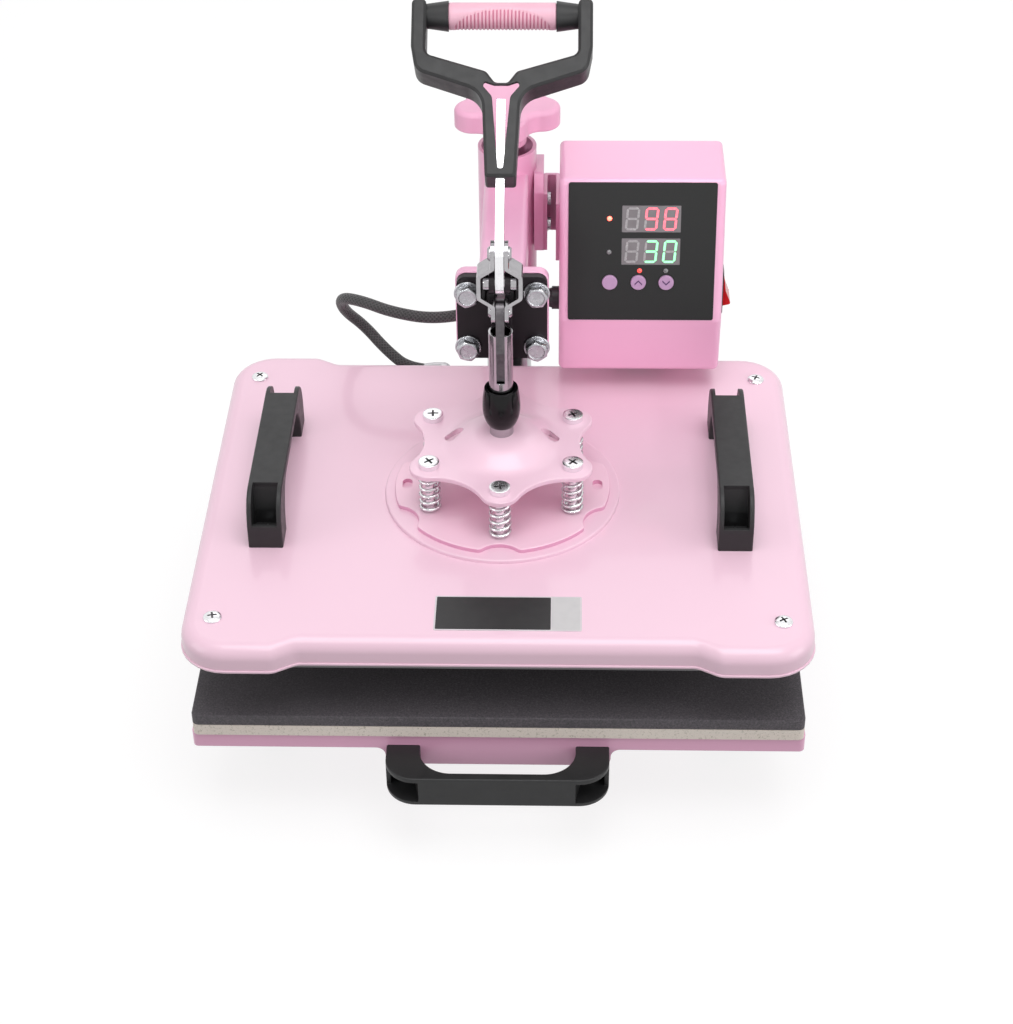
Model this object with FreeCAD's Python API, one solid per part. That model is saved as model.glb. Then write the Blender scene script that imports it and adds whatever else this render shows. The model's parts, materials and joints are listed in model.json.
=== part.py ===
"""Flat heat press with a swing-away arm, a toggle lever and a slide-out lower platen.

The model stands on the floor at z = 0, x is to the right and the operator stands at -y.
While it is built, y = 0 is the plunger's axis. The last step moves every piece along y, so
that the origin is the middle of the footprint. All sizes are in millimetres.
"""
import FreeCAD, Part
import math
import os

V = FreeCAD.Vector

# Fits and gaps
RUN_GAP = 0.06        # radial gap of a shaft that turns or slides in its bore
FACE_GAP = 0.3        # flat faces that pass each other
HOLE_GAP = 0.25       # radial gap of a screw in its clearance hole

# Working faces
PAD_W = 380.0         # silicone pad, 15 inch
PAD_D = 305.0         # silicone pad, 12 inch
PAD_T = 8.0
PAD_R = 4.0           # plan corner of pad and board
BOARD_T = 8.0         # fibre board under the pad
STROKE = 40.0         # travel of the plunger from open to closed
CLOSED_GAP = 0.5      # heating plate above the pad when closed

# Base
FOOT_H = 10.0
FOOT_R = 14.0
FOOT_TIP_R = 11.0
TUBE_W = 30.0         # base tubes lie flat
TUBE_H = 25.0
TUBE_WALL = 2.0
BASE_HALF_W = 165.0   # outside of the side tubes
BASE_FRONT = -95.0
BASE_BACK = 228.0
RAIL_TUBE_Y = 90.0    # cross tube under the back of the rails
CAP_T = 2.0

# Lower platen that slides out
RAIL_X = 110.0
RAIL_W = 26.0
RAIL_H = 18.0
RAIL_WALL = 2.0
RAIL_SLOT = 11.0
RAIL_BACK = 145.0
RUNNER_HEAD_T = 5.0
RUNNER_STEM = 8.0
RUNNER_FRONT = -135.0
RUNNER_BACK = 140.0
RUNNER_TOP_W = 30.0
RUNNER_TOP_T = 3.0
TRAY_LIFT = 37.5      # underside of the tray above the base tubes
TRAY_W = 377.0
TRAY_D = 302.0
TRAY_T = 1.5
TRAY_LIP = 11.0       # depth of the folded edge
TRAY_R = 14.0
TAB_W = 141.0
TAB_H = 24.5          # depth of the front tab that carries the pull handle
TAB_R = 6.0

# Bow handles, all three alike
HANDLE_L = 137.0
HANDLE_H = 31.0
HANDLE_W = 22.0
HANDLE_BAR = 6.5
HANDLE_LEG = 21.0
HANDLE_OUT_R = 19.0
HANDLE_IN_R = 20.0
HANDLE_WALL = 3.0
POCKET_FLOOR = 6.0
POCKET_SILL = 15.0
HANDLE_SCREW_R = 2.5

# Upper platen
COVER_W = 388.0
COVER_D = 325.0
COVER_H = 17.5
COVER_WALL = 1.5
COVER_EDGE_R = 11.0
COVER_CORNER_R = 30.0
COVER_STEP = 5.0      # the middle of the front and back stands in by this
STEP_OUT_X = 136.0
STEP_IN_X = 117.0
STEP_R = 22.0
PLATE_T = 10.0        # aluminium heating plate
PLATE_PROUD = 3.0     # heating plate below the cover's rim
PLATE_CLEAR = 2.5     # heating plate inside the cover's wall
ELEMENT_R = 3.0
ELEMENT_RUNS = 6
BLANKET_T = 3.0
CORNER_SCREW_IN_X = 20.3   # cover's side to its corner screw
CORNER_SCREW_IN_Y = 31.5   # cover's front or back to its corner screw
CORNER_SCREW_R = 2.0
HANDLE_IN = 45.5      # cover's side to the handle's middle
HANDLE_MID_Y = 9.0

# Spring stack between platen and plunger
DISC_R = 76.5         # raised disc in the cover
DISC_H = 2.6
LOWER_R = 70.0        # scalloped plate that carries the springs
LOWER_T = 3.0
NOTCH_DEPTH = 7.0
NOTCH_R = 16.0
SMALL_HOLE_R = 3.2
SMALL_HOLE_X = 62.0
SCREW_COUNT = 6
SCREW_CIRCLE = 52.7
LOBE_R = 12.5
WAIST_R = 50.0
STAR_T = 3.0
SPRING_LEN = 30.6
SPRING_R = 7.2        # outside radius
SPRING_WIRE = 2.0
SPRING_TURNS = 5.5
SHOULDER_R = 3.0
THREAD_R = 2.5
HEAD_R = 6.2
HEAD_H = 3.4
NUT_T = 3.0
NUT_AF = 8.0
DOME_R = 40.0
DOME_TOP_R = 13.0
DOME_H = 8.8
SLOT_X = 31.0
SLOT_Y = 5.5
SLOT_L = 12.0
SLOT_W = 5.5
SLOT_TILT = 37.0

# Plunger and toggle
TUBE_R = 7.65
TUBE_BORE_R = 6.25
TUBE_LEN = 76.0       # plunger tube above the spring plate's dome
TONGUE_T = 5.2
TONGUE_R = 8.0
TONGUE_TOP = 15.0     # lower toggle pin above the tube's top
TONGUE_FOOT = 35.0    # the tongue reaches this far into the tube
BARREL_R = 11.6
BARREL_END_R = 8.8
BARREL_MOUTH_R = 10.2
BARREL_LIFT = 6.6
BARREL_LEN = 34.4
CRANK = 20.0          # pivot to toggle pin
EAR_T = 2.5
EAR_GAP = 0.3
EAR_R = 8.2
LINK_W = 16.0
LINK_LEN = 40.5
BULGE_IN = 11.6
BULGE_LONG = 14.0
BULGE_TURN = 6.0
PIVOT_R = 3.5
PIVOT_HEAD_R = 5.2
RIVET_R = 3.0
RIVET_HEAD_R = 4.6
RIVET_HEAD_T = 2.0
GUIDE_Y = 22.0        # guide pins behind the tube
GUIDE_PITCH = 18.0
GUIDE_PIN_R = 3.0
CHEEK_T = 3.5
CHEEK_GAP = 3.1       # cheek's inner face from the middle plane
CHEEK_FRONT = 13.5
CHEEK_NOSE_R = 7.4

# Lever
LEAN = 50.0           # open lever leans back from upright
BAR_W = 15.0
HANDLE_FOOT = 45.8    # lever handle starts this far above the toggle pin
GRIP_AT = 151.0
BAR_END = 78.0
LEVER_T = 21.0
LEVER_HALF_W = 56.0
LEVER_ARM = 9.0
LEVER_TIP = 12.0
SHOULDER_U = 121.0
STEM_TOP = 101.0
STEM_HALF_TOP = 12.0
STEM_HALF_FOOT = 9.4
SLOT_HALF_TOP = 4.0
SLOT_HALF_FOOT = 1.6
SLOT_FOOT = 51.0
NOTCH_U = 107.0
LEVER_EDGE = 1.6
GRIP_R = 9.5
GRIP_HALF = 33.5
GRIP_ROD_R = 5.0

# Arm, sleeve and post
FACE_Y = 37.0         # front of the black plate
CLAMP_W = 57.5
CLAMP_H = 61.0
CLAMP_T = 5.0
CLAMP_R = 6.0
FLANGE_T = 6.0
FLANGE_OVER = 1.0
BOLT_DX = 44.0
BOLT_DZ = 40.3
BOLT_R = 4.0
BOLT_AF = 13.0
BOLT_HEAD = 5.5
WASHER_R = 8.4
WASHER_T = 1.6
ARM_W = 30.0
ARM_H = 50.0
ARM_R = 4.0
ARM_WALL = 2.5
ARM_DROP = 3.0        # arm's top below the flange's top
COLUMN_Y = 190.0
POST_R = 16.0
POST_WALL = 3.0
POST_TOP = 240.0
SLEEVE_R = 20.0
SLEEVE_WALL = 2.5
SLEEVE_FOOT = 178.0
SLEEVE_RISE = 6.5     # sleeve above the arm
BUSH_LEN = 24.0
BUSH_FLANGE_R = 23.0
BUSH_FLANGE_T = 3.0
COLLAR_R = 25.0
COLLAR_H = 15.0
NUT_PLATE_T = 14.0
NUT_PLATE_DROP = 20.0
KNOB_SCREW_R = 8.0
KNOB_HUB_R = 13.0
KNOB_R = 36.3
KNOB_LOBES = 5
KNOB_LOBE_R = 12.5
KNOB_WAIST_R = 27.0
KNOB_T = 17.5
KNOB_GAP = 21.0       # knob's underside above the sleeve
KNOB_TURN = -30.0
KNOB_EDGE = 4.0
FOOT_PLATE_T = 6.0
FOOT_PLATE_W = 90.0

# Control box
BOX_X0 = 36.0
BOX_W = 110.0
BOX_WALL = 2.0
BOX_EDGE = 5.0
BOX_BACK = 185.0
BOX_LOW_Y = 118.0     # front of the underside
BOX_NOSE_Y = 112.0    # foremost edge
BOX_TOP_Y = 131.0     # front of the top
BOX_Z0 = 167.0
BOX_NOSE_Z = 211.0
BOX_TOP_Z = 309.0
PANEL_W = 98.0
PANEL_H = 96.5
PANEL_T = 1.0
WINDOW_W = 39.0
WINDOW_H = 18.6
WINDOW_X = 6.0
WINDOW_V = (23.3, 0.5)
LED_SPOTS = ((-21.8, 23.6), (-21.8, 0.2), (-1.2, -12.9), (16.3, -12.9))
LED_R = 1.6
BUTTON_X = (-21.1, -1.9, 16.7)
BUTTON_V = -21.2
BUTTON_R = 5.15
BUTTON_PROUD = 1.2
BUTTON_TRAVEL = 0.6
BOARD_BACK = 14.0     # circuit board behind the panel's face
CIRCUIT_T = 1.6
SWITCH_Y = 142.0
SWITCH_Z = 222.0
SWITCH_W = 20.0
SWITCH_H = 30.0
SWITCH_RIM = 1.6
ROCKER_GAP = 0.5
INLET_X = 90.0
INLET_Y = 152.0
INLET_W = 27.0
INLET_D = 20.0
BRACKET_Z0 = 230.0
BRACKET_H = 44.0
LUG_T = 5.0

# Heater cable
CABLE_R = 4.0
GLAND_R = 7.0
GLAND_TIP_R = 5.5
PLATEN_GLAND_X = -46.0
CABLE_ROUTE = (
    (36.0, 152.0, 205.0),
    (12.0, 152.0, 205.0),
    (-18.0, 140.0, 201.0),
    (-50.0, 131.0, 200.0),
    (-79.0, 135.0, 203.0),
    (-101.0, 145.0, 206.0),
    (-117.0, 159.0, 200.0),
    (-117.0, 173.0, 181.0),
    (-103.0, 180.0, 163.0),
    (-86.0, 178.0, 149.0),
    (-69.0, 172.0, 142.0),
    (-50.0, 172.0, 142.0),
)

# Heights that follow from the sizes above
BASE_TOP = FOOT_H + TUBE_H
TRAY_UNDER = BASE_TOP + TRAY_LIFT
TRAY_TOP = TRAY_UNDER + TRAY_T
BOARD_TOP = TRAY_TOP + BOARD_T
PAD_TOP = BOARD_TOP + PAD_T
PLATE_Z = PAD_TOP + CLOSED_GAP + STROKE
RIM_Z = PLATE_Z + PLATE_PROUD
COVER_TOP = RIM_Z + COVER_H
DISC_TOP = COVER_TOP + DISC_H
LOWER_TOP = DISC_TOP + LOWER_T
STAR_Z = LOWER_TOP + SPRING_LEN
STAR_TOP = STAR_Z + STAR_T
DOME_TOP = STAR_Z + STAR_T + DOME_H
TUBE_TOP = DOME_TOP + TUBE_LEN
PIN_LOW_Z = TUBE_TOP + TONGUE_TOP
PIN_TOP_Z = PIN_LOW_Z + LINK_LEN
PIVOT_Z = PIN_TOP_Z - CRANK
CLAMP_TOP = TUBE_TOP + 16.5
CLAMP_Z = CLAMP_TOP - CLAMP_H
FLANGE_TOP = CLAMP_TOP + FLANGE_OVER
FLANGE_BACK = FACE_Y + CLAMP_T + FLANGE_T
ARM_TOP = FLANGE_TOP - ARM_DROP
SLEEVE_TOP = ARM_TOP + SLEEVE_RISE
KNOB_Z = SLEEVE_TOP + KNOB_GAP
HANDLE_FRONT = -TRAY_D / 2 - HANDLE_H
HANDLE_X = COVER_W / 2 - HANDLE_IN
SHIFT_Y = -(BASE_BACK + CAP_T + HANDLE_FRONT) / 2

PARTS = {}


def keep(name, shapes):
    """Store one sub-part: a single shape or a list of separate solids."""
    solids = []
    for shape in shapes if isinstance(shapes, (list, tuple)) else [shapes]:
        solids.extend(shape.Solids)
    PARTS[name] = solids


def box(x0, x1, y0, y1, z0, z1):
    return Part.makeBox(x1 - x0, y1 - y0, z1 - z0, V(x0, y0, z0))


def rod(r, start, direction, length):
    return Part.makeCylinder(r, length, V(*start), V(*direction))


def rod_z(r, x, y, z0, z1):
    return Part.makeCylinder(r, z1 - z0, V(x, y, z0))


def rod_x(r, y, z, x0, x1):
    return Part.makeCylinder(r, x1 - x0, V(x0, y, z), V(1, 0, 0))


def ring_z(r_out, r_in, x, y, z0, z1):
    return rod_z(r_out, x, y, z0, z1).cut(rod_z(r_in, x, y, z0 - 1, z1 + 1))


def fuse(first, *others):
    return first.fuse(list(others)).removeSplitter()


def rounded_edges(corners, place):
    """Edges of a closed outline. Each corner is (u, v, radius); place maps (u, v) to space."""
    count = len(corners)
    stops = []
    for i in range(count):
        u, v, r = corners[i]
        pu, pv, _ = corners[i - 1]
        nu, nv, _ = corners[(i + 1) % count]
        here = V(u, v, 0)
        back = (V(pu, pv, 0) - here).normalize()
        ahead = (V(nu, nv, 0) - here).normalize()
        if r <= 0:
            stops.append((here, None, here))
            continue
        half = back.getAngle(ahead) / 2
        reach = r / math.tan(half)
        middle = (back + ahead).normalize()
        centre = here + middle * (r / math.sin(half))
        stops.append((here + back * reach, centre - middle * r, here + ahead * reach))
    edges = []
    for i in range(count):
        start, mid, end = stops[i]
        if mid is not None:
            points = [place(p.x, p.y) for p in (start, mid, end)]
            edges.append(Part.Arc(*points).toShape())
        follow = stops[(i + 1) % count][0]
        if end.distanceToPoint(follow) > 1e-6:
            edges.append(Part.LineSegment(place(end.x, end.y), place(follow.x, follow.y)).toShape())
    return edges


def slab(corners, axis, low, high):
    """Rounded outline pulled from low to high along x, y or z."""
    if axis == "x":
        place, way = (lambda u, v: V(low, u, v)), V(high - low, 0, 0)
    elif axis == "y":
        place, way = (lambda u, v: V(u, low, v)), V(0, high - low, 0)
    else:
        place, way = (lambda u, v: V(u, v, low)), V(0, 0, high - low)
    return Part.Face(Part.Wire(rounded_edges(corners, place))).extrude(way)


def plate(half_u, half_v, r, axis, low, high, mid=(0.0, 0.0)):
    """Rectangular plate with rounded corners."""
    u, v = mid
    corners = [
        (u - half_u, v - half_v, r),
        (u + half_u, v - half_v, r),
        (u + half_u, v + half_v, r),
        (u - half_u, v + half_v, r),
    ]
    return slab(corners, axis, low, high)


def revolve(points, x, y):
    """Solid of revolution about the upright line through (x, y), from (radius, z) points."""
    wire = Part.makePolygon([V(x + r, y, z) for r, z in points + [points[0]]])
    return Part.Face(wire).revolve(V(x, y, 0), V(0, 0, 1), 360)


def hexagon(across, x, y, z0, z1):
    """Hexagonal prism standing on z0."""
    r = across / math.sqrt(3)
    points = [V(x + r * math.cos(math.radians(60 * i + 30)), y + r * math.sin(math.radians(60 * i + 30)), z0)
              for i in range(7)]
    return Part.Face(Part.makePolygon(points)).extrude(V(0, 0, z1 - z0))


def round_off(shape, radius, test):
    """Fillet the edges whose box and curve pass the test."""
    edges = [e for e in shape.Edges if test(e)]
    return shape.makeFillet(radius, edges) if edges else shape


def flat_at(z):
    """Test for edges that lie flat at a height."""
    return lambda e: abs(e.BoundBox.ZMin - z) < 1e-4 and abs(e.BoundBox.ZMax - z) < 1e-4


def polar(radius, degrees, x=0.0, y=0.0):
    a = math.radians(degrees)
    return x + radius * math.cos(a), y + radius * math.sin(a)


def screw_spots():
    """Centres of the spring screws: one at the front, then every sixth of a turn."""
    return [polar(SCREW_CIRCLE, -90 + 360 * i / SCREW_COUNT) for i in range(SCREW_COUNT)]


# Base


def base_tubes(inset):
    """Ladder of flat tubes; inset is the wall left off every side."""
    low, high = FOOT_H + inset, BASE_TOP - inset
    outer = BASE_HALF_W - inset
    inner = BASE_HALF_W - TUBE_W + inset
    ends = -1.0 if inset else 0.0
    sides = [box(s * inner if s > 0 else -outer, outer if s > 0 else -inner, BASE_FRONT + ends, BASE_BACK - ends,
                 low, high) for s in (-1, 1)]
    cross = []
    for front in cross_tube_fronts():
        cross.append(box(-outer + 1, outer - 1, front + inset, front + TUBE_W - inset, low, high))
    return fuse(sides[0], sides[1], *cross)


def cross_tube_fronts():
    """Front edges of the four cross tubes."""
    back_pair = BASE_BACK - TUBE_W
    return (BASE_FRONT, RAIL_TUBE_Y - TUBE_W / 2, 2 * COLUMN_Y - BASE_BACK, back_pair)


def foot_spots():
    x = BASE_HALF_W - TUBE_W / 2
    return [(sx * x, y) for sx in (-1, 1) for y in (BASE_FRONT + TUBE_W / 2, BASE_BACK - TUBE_W / 2)]


def post_bolt_spots():
    half = FOOT_PLATE_W / 2 - 12.0
    low = 2 * COLUMN_Y - BASE_BACK + TUBE_W / 2
    return [(sx * half, y) for sx in (-1, 1) for y in (low, BASE_BACK - TUBE_W / 2)]


def rail_screw_spots():
    return [(sx * RAIL_X, y) for sx in (-1, 1) for y in (BASE_FRONT + TUBE_W / 2, RAIL_TUBE_Y)]


def make_base():
    frame = base_tubes(0.0).cut(base_tubes(TUBE_WALL))
    foot_screw_r = 2.5
    for x, y in foot_spots():
        frame = frame.cut(rod_z(foot_screw_r, x, y, FOOT_H - 1, FOOT_H + TUBE_WALL + 1))
    for x, y in post_bolt_spots():
        frame = frame.cut(rod_z(BOLT_R, x, y, BASE_TOP - TUBE_WALL - 1, BASE_TOP + 1))
    for x, y in rail_screw_spots():
        frame = frame.cut(rod_z(THREAD_R, x, y, BASE_TOP - TUBE_WALL - 1, BASE_TOP + 1))
    keep("base_frame", frame)

    caps = []
    mid_z = FOOT_H + TUBE_H / 2
    mid_x = BASE_HALF_W - TUBE_W / 2
    plug_half_w = TUBE_W / 2 - TUBE_WALL
    plug_half_h = TUBE_H / 2 - TUBE_WALL
    plug_len = 12.0
    for s in (-1, 1):
        lid = plate(TUBE_W / 2, TUBE_H / 2, 3.0, "y", BASE_BACK, BASE_BACK + CAP_T, (s * mid_x, mid_z))
        plug = plate(plug_half_w, plug_half_h, 1.0, "y", BASE_BACK - plug_len, BASE_BACK, (s * mid_x, mid_z))
        back_cap = fuse(lid, plug).cut(plate(plug_half_w - 2, plug_half_h - 2, 1.0, "y",
                                             BASE_BACK - plug_len - 1, BASE_BACK - 2, (s * mid_x, mid_z)))
        lid = plate(TUBE_W / 2, TUBE_H / 2, 3.0, "y", BASE_FRONT - CAP_T, BASE_FRONT, (s * mid_x, mid_z))
        plug = plate(plug_half_w, plug_half_h, 1.0, "y", BASE_FRONT, BASE_FRONT + plug_len, (s * mid_x, mid_z))
        front_cap = fuse(lid, plug).cut(plate(plug_half_w - 2, plug_half_h - 2, 1.0, "y",
                                              BASE_FRONT + 2, BASE_FRONT + plug_len + 1, (s * mid_x, mid_z)))
        caps.extend([back_cap, front_cap])
    keep("tube_end_caps", caps)

    feet = []
    for x, y in foot_spots():
        body = revolve([(0, 0), (FOOT_TIP_R, 0), (FOOT_TIP_R + 1, 1), (FOOT_R, FOOT_H), (0, FOOT_H)], x, y)
        stud = rod_z(foot_screw_r, x, y, FOOT_H, FOOT_H + TUBE_WALL + 2)
        feet.append(fuse(body, stud))
    keep("rubber_feet", feet)


def make_post():
    foot_half_d = (BASE_BACK - COLUMN_Y)
    foot = plate(FOOT_PLATE_W / 2, foot_half_d, 8.0, "z", BASE_TOP, BASE_TOP + FOOT_PLATE_T, (0, COLUMN_Y))
    column = rod_z(POST_R, 0, COLUMN_Y, BASE_TOP + FOOT_PLATE_T, POST_TOP)
    hollow = rod_z(POST_R - POST_WALL, 0, COLUMN_Y, BASE_TOP - 1, POST_TOP - 8)
    rib_h = 45.0
    rib_reach = FOOT_PLATE_W / 2 - 4
    rib_t = 5.0
    ribs = []
    for turn in (0, 180):
        z0 = BASE_TOP + FOOT_PLATE_T
        rib = slab([(POST_R - 2, z0, 0), (rib_reach, z0, 0), (rib_reach, z0 + 6, 0), (POST_R - 2, z0 + rib_h, 0)],
                   "y", -rib_t / 2, rib_t / 2)
        rib.rotate(V(0, 0, 0), V(0, 0, 1), turn)
        rib.translate(V(0, COLUMN_Y, 0))
        ribs.append(rib)
    post = fuse(foot, column, *ribs).cut(hollow)
    for x, y in post_bolt_spots():
        post = post.cut(rod_z(BOLT_R + HOLE_GAP, x, y, BASE_TOP - 1, BASE_TOP + FOOT_PLATE_T + 1))
    keep("swing_post", post)

    bolts = []
    head_z = BASE_TOP + FOOT_PLATE_T
    for x, y in post_bolt_spots():
        shank = rod_z(BOLT_R, x, y, BASE_TOP - TUBE_WALL - 6, head_z)
        bolts.append(fuse(shank, hexagon(BOLT_AF, x, y, head_z, head_z + BOLT_HEAD)))
    keep("post_bolts", bolts)

    top = SLEEVE_FOOT - BUSH_FLANGE_T - 0.2
    collar = ring_z(COLLAR_R, POST_R, 0, COLUMN_Y, top - COLLAR_H, top)
    collar = round_off(collar, 1.5, lambda e: (flat_at(top)(e) or flat_at(top - COLLAR_H)(e))
                       and e.BoundBox.XLength > 2 * POST_R + 2)
    set_screw_r = 3.0
    mid = top - COLLAR_H / 2
    screw = rod(set_screw_r, (POST_R, COLUMN_Y, mid), (1, 0, 0), COLLAR_R - POST_R - 1)
    bore = rod(set_screw_r, (POST_R - 1, COLUMN_Y, mid), (1, 0, 0), COLLAR_R)
    keep("stop_collar", [collar.cut(bore), screw])


# Lower platen


def make_rails():
    rails = []
    runners = []
    z0 = BASE_TOP
    z1 = z0 + RAIL_H
    for s in (-1, 1):
        x = s * RAIL_X
        outer = box(x - RAIL_W / 2, x + RAIL_W / 2, BASE_FRONT, RAIL_BACK, z0, z1)
        inner = box(x - RAIL_W / 2 + RAIL_WALL, x + RAIL_W / 2 - RAIL_WALL, BASE_FRONT - 1, RAIL_BACK + 1,
                    z0 + RAIL_WALL, z1 - RAIL_WALL)
        slot = box(x - RAIL_SLOT / 2, x + RAIL_SLOT / 2, BASE_FRONT - 1, RAIL_BACK + 1, z1 - RAIL_WALL - 1, z1 + 1)
        rail = outer.cut(inner).cut(slot)
        for sx, sy in rail_screw_spots():
            rail = rail.cut(rod_z(THREAD_R, sx, sy, z0 - 1, z0 + RAIL_WALL + 1))
        rails.append(rail)

        head_top = z1 - RAIL_WALL - FACE_GAP
        head_half = RAIL_W / 2 - RAIL_WALL - FACE_GAP
        head = box(x - head_half, x + head_half, RUNNER_FRONT, RUNNER_BACK, head_top - RUNNER_HEAD_T, head_top)
        stem = box(x - RUNNER_STEM / 2, x + RUNNER_STEM / 2, RUNNER_FRONT, RUNNER_BACK, head_top,
                   TRAY_UNDER - RUNNER_TOP_T)
        top = box(x - RUNNER_TOP_W / 2, x + RUNNER_TOP_W / 2, RUNNER_FRONT, RUNNER_BACK,
                  TRAY_UNDER - RUNNER_TOP_T, TRAY_UNDER)
        runners.append(fuse(head, stem, top))
    keep("slide_rails", rails)
    keep("tray_runners", runners)

    screws = []
    head_t = 2.2
    for x, y in rail_screw_spots():
        shank = rod_z(THREAD_R, x, y, BASE_TOP - TUBE_WALL - 3, BASE_TOP + RAIL_WALL)
        screws.append(fuse(shank, rod_z(4.5, x, y, BASE_TOP + RAIL_WALL, BASE_TOP + RAIL_WALL + head_t)))
    keep("rail_screws", screws)


def pull_screw_spots():
    """Centres (x, z) of the screws that hold the pull handle to the tab."""
    mid_z = TRAY_TOP - TAB_H + HANDLE_W / 2 - 6.0
    reach = HANDLE_L / 2 - HANDLE_LEG / 2
    return [(-reach, mid_z), (reach, mid_z)]


def make_lower_platen():
    outer = plate(TRAY_W / 2, TRAY_D / 2, TRAY_R, "z", TRAY_TOP - TRAY_LIP, TRAY_TOP)
    inner = plate(TRAY_W / 2 - TRAY_T, TRAY_D / 2 - TRAY_T, TRAY_R - TRAY_T, "z",
                  TRAY_TOP - TRAY_LIP - 1, TRAY_UNDER)
    tab_z = TRAY_TOP - TAB_H
    lip_z = TRAY_TOP - TRAY_LIP
    half = TAB_W / 2
    tab = slab([
        (-half, tab_z, TAB_R), (half, tab_z, TAB_R), (half, lip_z, TAB_R), (half + 3 * TAB_R, lip_z, 0),
        (half + 3 * TAB_R, lip_z + 2, 0), (-half - 3 * TAB_R, lip_z + 2, 0), (-half - 3 * TAB_R, lip_z, 0),
        (-half, lip_z, TAB_R),
    ], "y", -TRAY_D / 2, -TRAY_D / 2 + TRAY_T)
    tray = fuse(outer.cut(inner), tab)
    for x, z in pull_screw_spots():
        tray = tray.cut(rod(HANDLE_SCREW_R, (x, -TRAY_D / 2 - 1, z), (0, 1, 0), TRAY_T + 2))
    keep("lower_tray", tray)
    keep("insulation_board", plate(PAD_W / 2, PAD_D / 2, PAD_R, "z", TRAY_TOP, BOARD_TOP))
    pad = plate(PAD_W / 2, PAD_D / 2, PAD_R, "z", BOARD_TOP, PAD_TOP)
    keep("silicone_pad", round_off(pad, 1.0, flat_at(PAD_TOP)))


# Bow handles


def bow_handle():
    """Handle standing on z = 0 along y, with an open screw pocket in each end."""
    half = HANDLE_L / 2
    inner = half - HANDLE_LEG
    lift = HANDLE_H - HANDLE_BAR
    outline = slab([
        (-half, 0, 0), (-inner, 0, 0), (-inner, lift, HANDLE_IN_R), (inner, lift, HANDLE_IN_R), (inner, 0, 0),
        (half, 0, 0), (half, HANDLE_H, HANDLE_OUT_R), (-half, HANDLE_H, HANDLE_OUT_R),
    ], "x", -HANDLE_W / 2, HANDLE_W / 2)
    edge_r = 1.2
    grip = outline.makeFillet(edge_r, [e for e in outline.Edges if long_rim(e)])
    pocket_w = HANDLE_W / 2 - HANDLE_WALL
    for s in (-1, 1):
        deep = slab([
            (s * (half - HANDLE_WALL), POCKET_FLOOR, 0), (s * (half - HANDLE_WALL), POCKET_SILL, 0),
            (s * (half + 5), POCKET_SILL, 0), (s * (half + 5), HANDLE_H + 5, 0),
            (s * (half - HANDLE_LEG), HANDLE_H + 5, 0), (s * (half - HANDLE_LEG), HANDLE_H - HANDLE_BAR / 2, 3.0),
            (s * (half - HANDLE_LEG + HANDLE_WALL), POCKET_SILL, 6.0),
            (s * (half - HANDLE_LEG + HANDLE_WALL), POCKET_FLOOR, 0),
        ], "x", -pocket_w, pocket_w)
        hole = rod_z(HANDLE_SCREW_R, 0, s * (half - HANDLE_LEG / 2), -1, POCKET_FLOOR + 1)
        grip = grip.cut(deep).cut(hole)
    return grip


def long_rim(edge):
    """Outer long edges of a handle's side faces, above its feet."""
    bb = edge.BoundBox
    return bb.XLength < 1e-6 and bb.ZMax > 1.0 and abs(abs(bb.XMin) - HANDLE_W / 2) < 1e-6


def handle_screw(x, y, z, grip):
    """Pan-head screw in a handle's pocket with its nut below, pointing along -z."""
    head = rod_z(HANDLE_SCREW_R + 2.2, x, y, z + POCKET_FLOOR, z + POCKET_FLOOR + 2.6)
    shank = rod_z(HANDLE_SCREW_R, x, y, z - grip - NUT_T, z + POCKET_FLOOR)
    nut = hexagon(NUT_AF, x, y, z - grip - NUT_T, z - grip)
    return fuse(head, shank, nut)


def make_handles():
    reach = HANDLE_L / 2 - HANDLE_LEG / 2
    handles = []
    screws = []
    for s in (-1, 1):
        grip = bow_handle()
        grip.translate(V(s * HANDLE_X, HANDLE_MID_Y, COVER_TOP))
        handles.append(grip)
        for end in (-1, 1):
            screws.append(handle_screw(s * HANDLE_X, HANDLE_MID_Y + end * reach, COVER_TOP, COVER_WALL))
    keep("platen_handles", handles)
    keep("platen_handle_screws", screws)

    pull = bow_handle()
    pull.rotate(V(0, 0, 0), V(0, 0, 1), 90)
    pull.rotate(V(0, 0, 0), V(1, 0, 0), 90)
    mid_z = pull_screw_spots()[0][1]
    pull.translate(V(0, -TRAY_D / 2, mid_z))
    keep("pull_handle", pull)
    fixings = []
    for x, z in pull_screw_spots():
        screw = handle_screw(0, 0, 0, TRAY_T)
        screw.rotate(V(0, 0, 0), V(1, 0, 0), 90)
        screw.translate(V(x, -TRAY_D / 2, z))
        fixings.append(screw)
    keep("pull_handle_screws", fixings)


# Upper platen


def cover_block(inset, low, high, edge_r):
    """Cover form with a recessed middle at the front and the back."""
    hx = COVER_W / 2 - inset
    hy = COVER_D / 2 - inset
    step = hy - COVER_STEP
    corners = [
        (-hx, -hy, COVER_CORNER_R - inset), (-STEP_OUT_X, -hy, STEP_R), (-STEP_IN_X, -step, STEP_R),
        (STEP_IN_X, -step, STEP_R), (STEP_OUT_X, -hy, STEP_R), (hx, -hy, COVER_CORNER_R - inset),
        (hx, hy, COVER_CORNER_R - inset), (STEP_OUT_X, hy, STEP_R), (STEP_IN_X, step, STEP_R),
        (-STEP_IN_X, step, STEP_R), (-STEP_OUT_X, hy, STEP_R), (-hx, hy, COVER_CORNER_R - inset),
    ]
    return round_off(slab(corners, "z", low, high), edge_r, flat_at(high))


def corner_screw_spots():
    x = COVER_W / 2 - CORNER_SCREW_IN_X
    y = COVER_D / 2 - CORNER_SCREW_IN_Y
    return [(sx * x, sy * y) for sx in (-1, 1) for sy in (-1, 1)]


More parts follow.
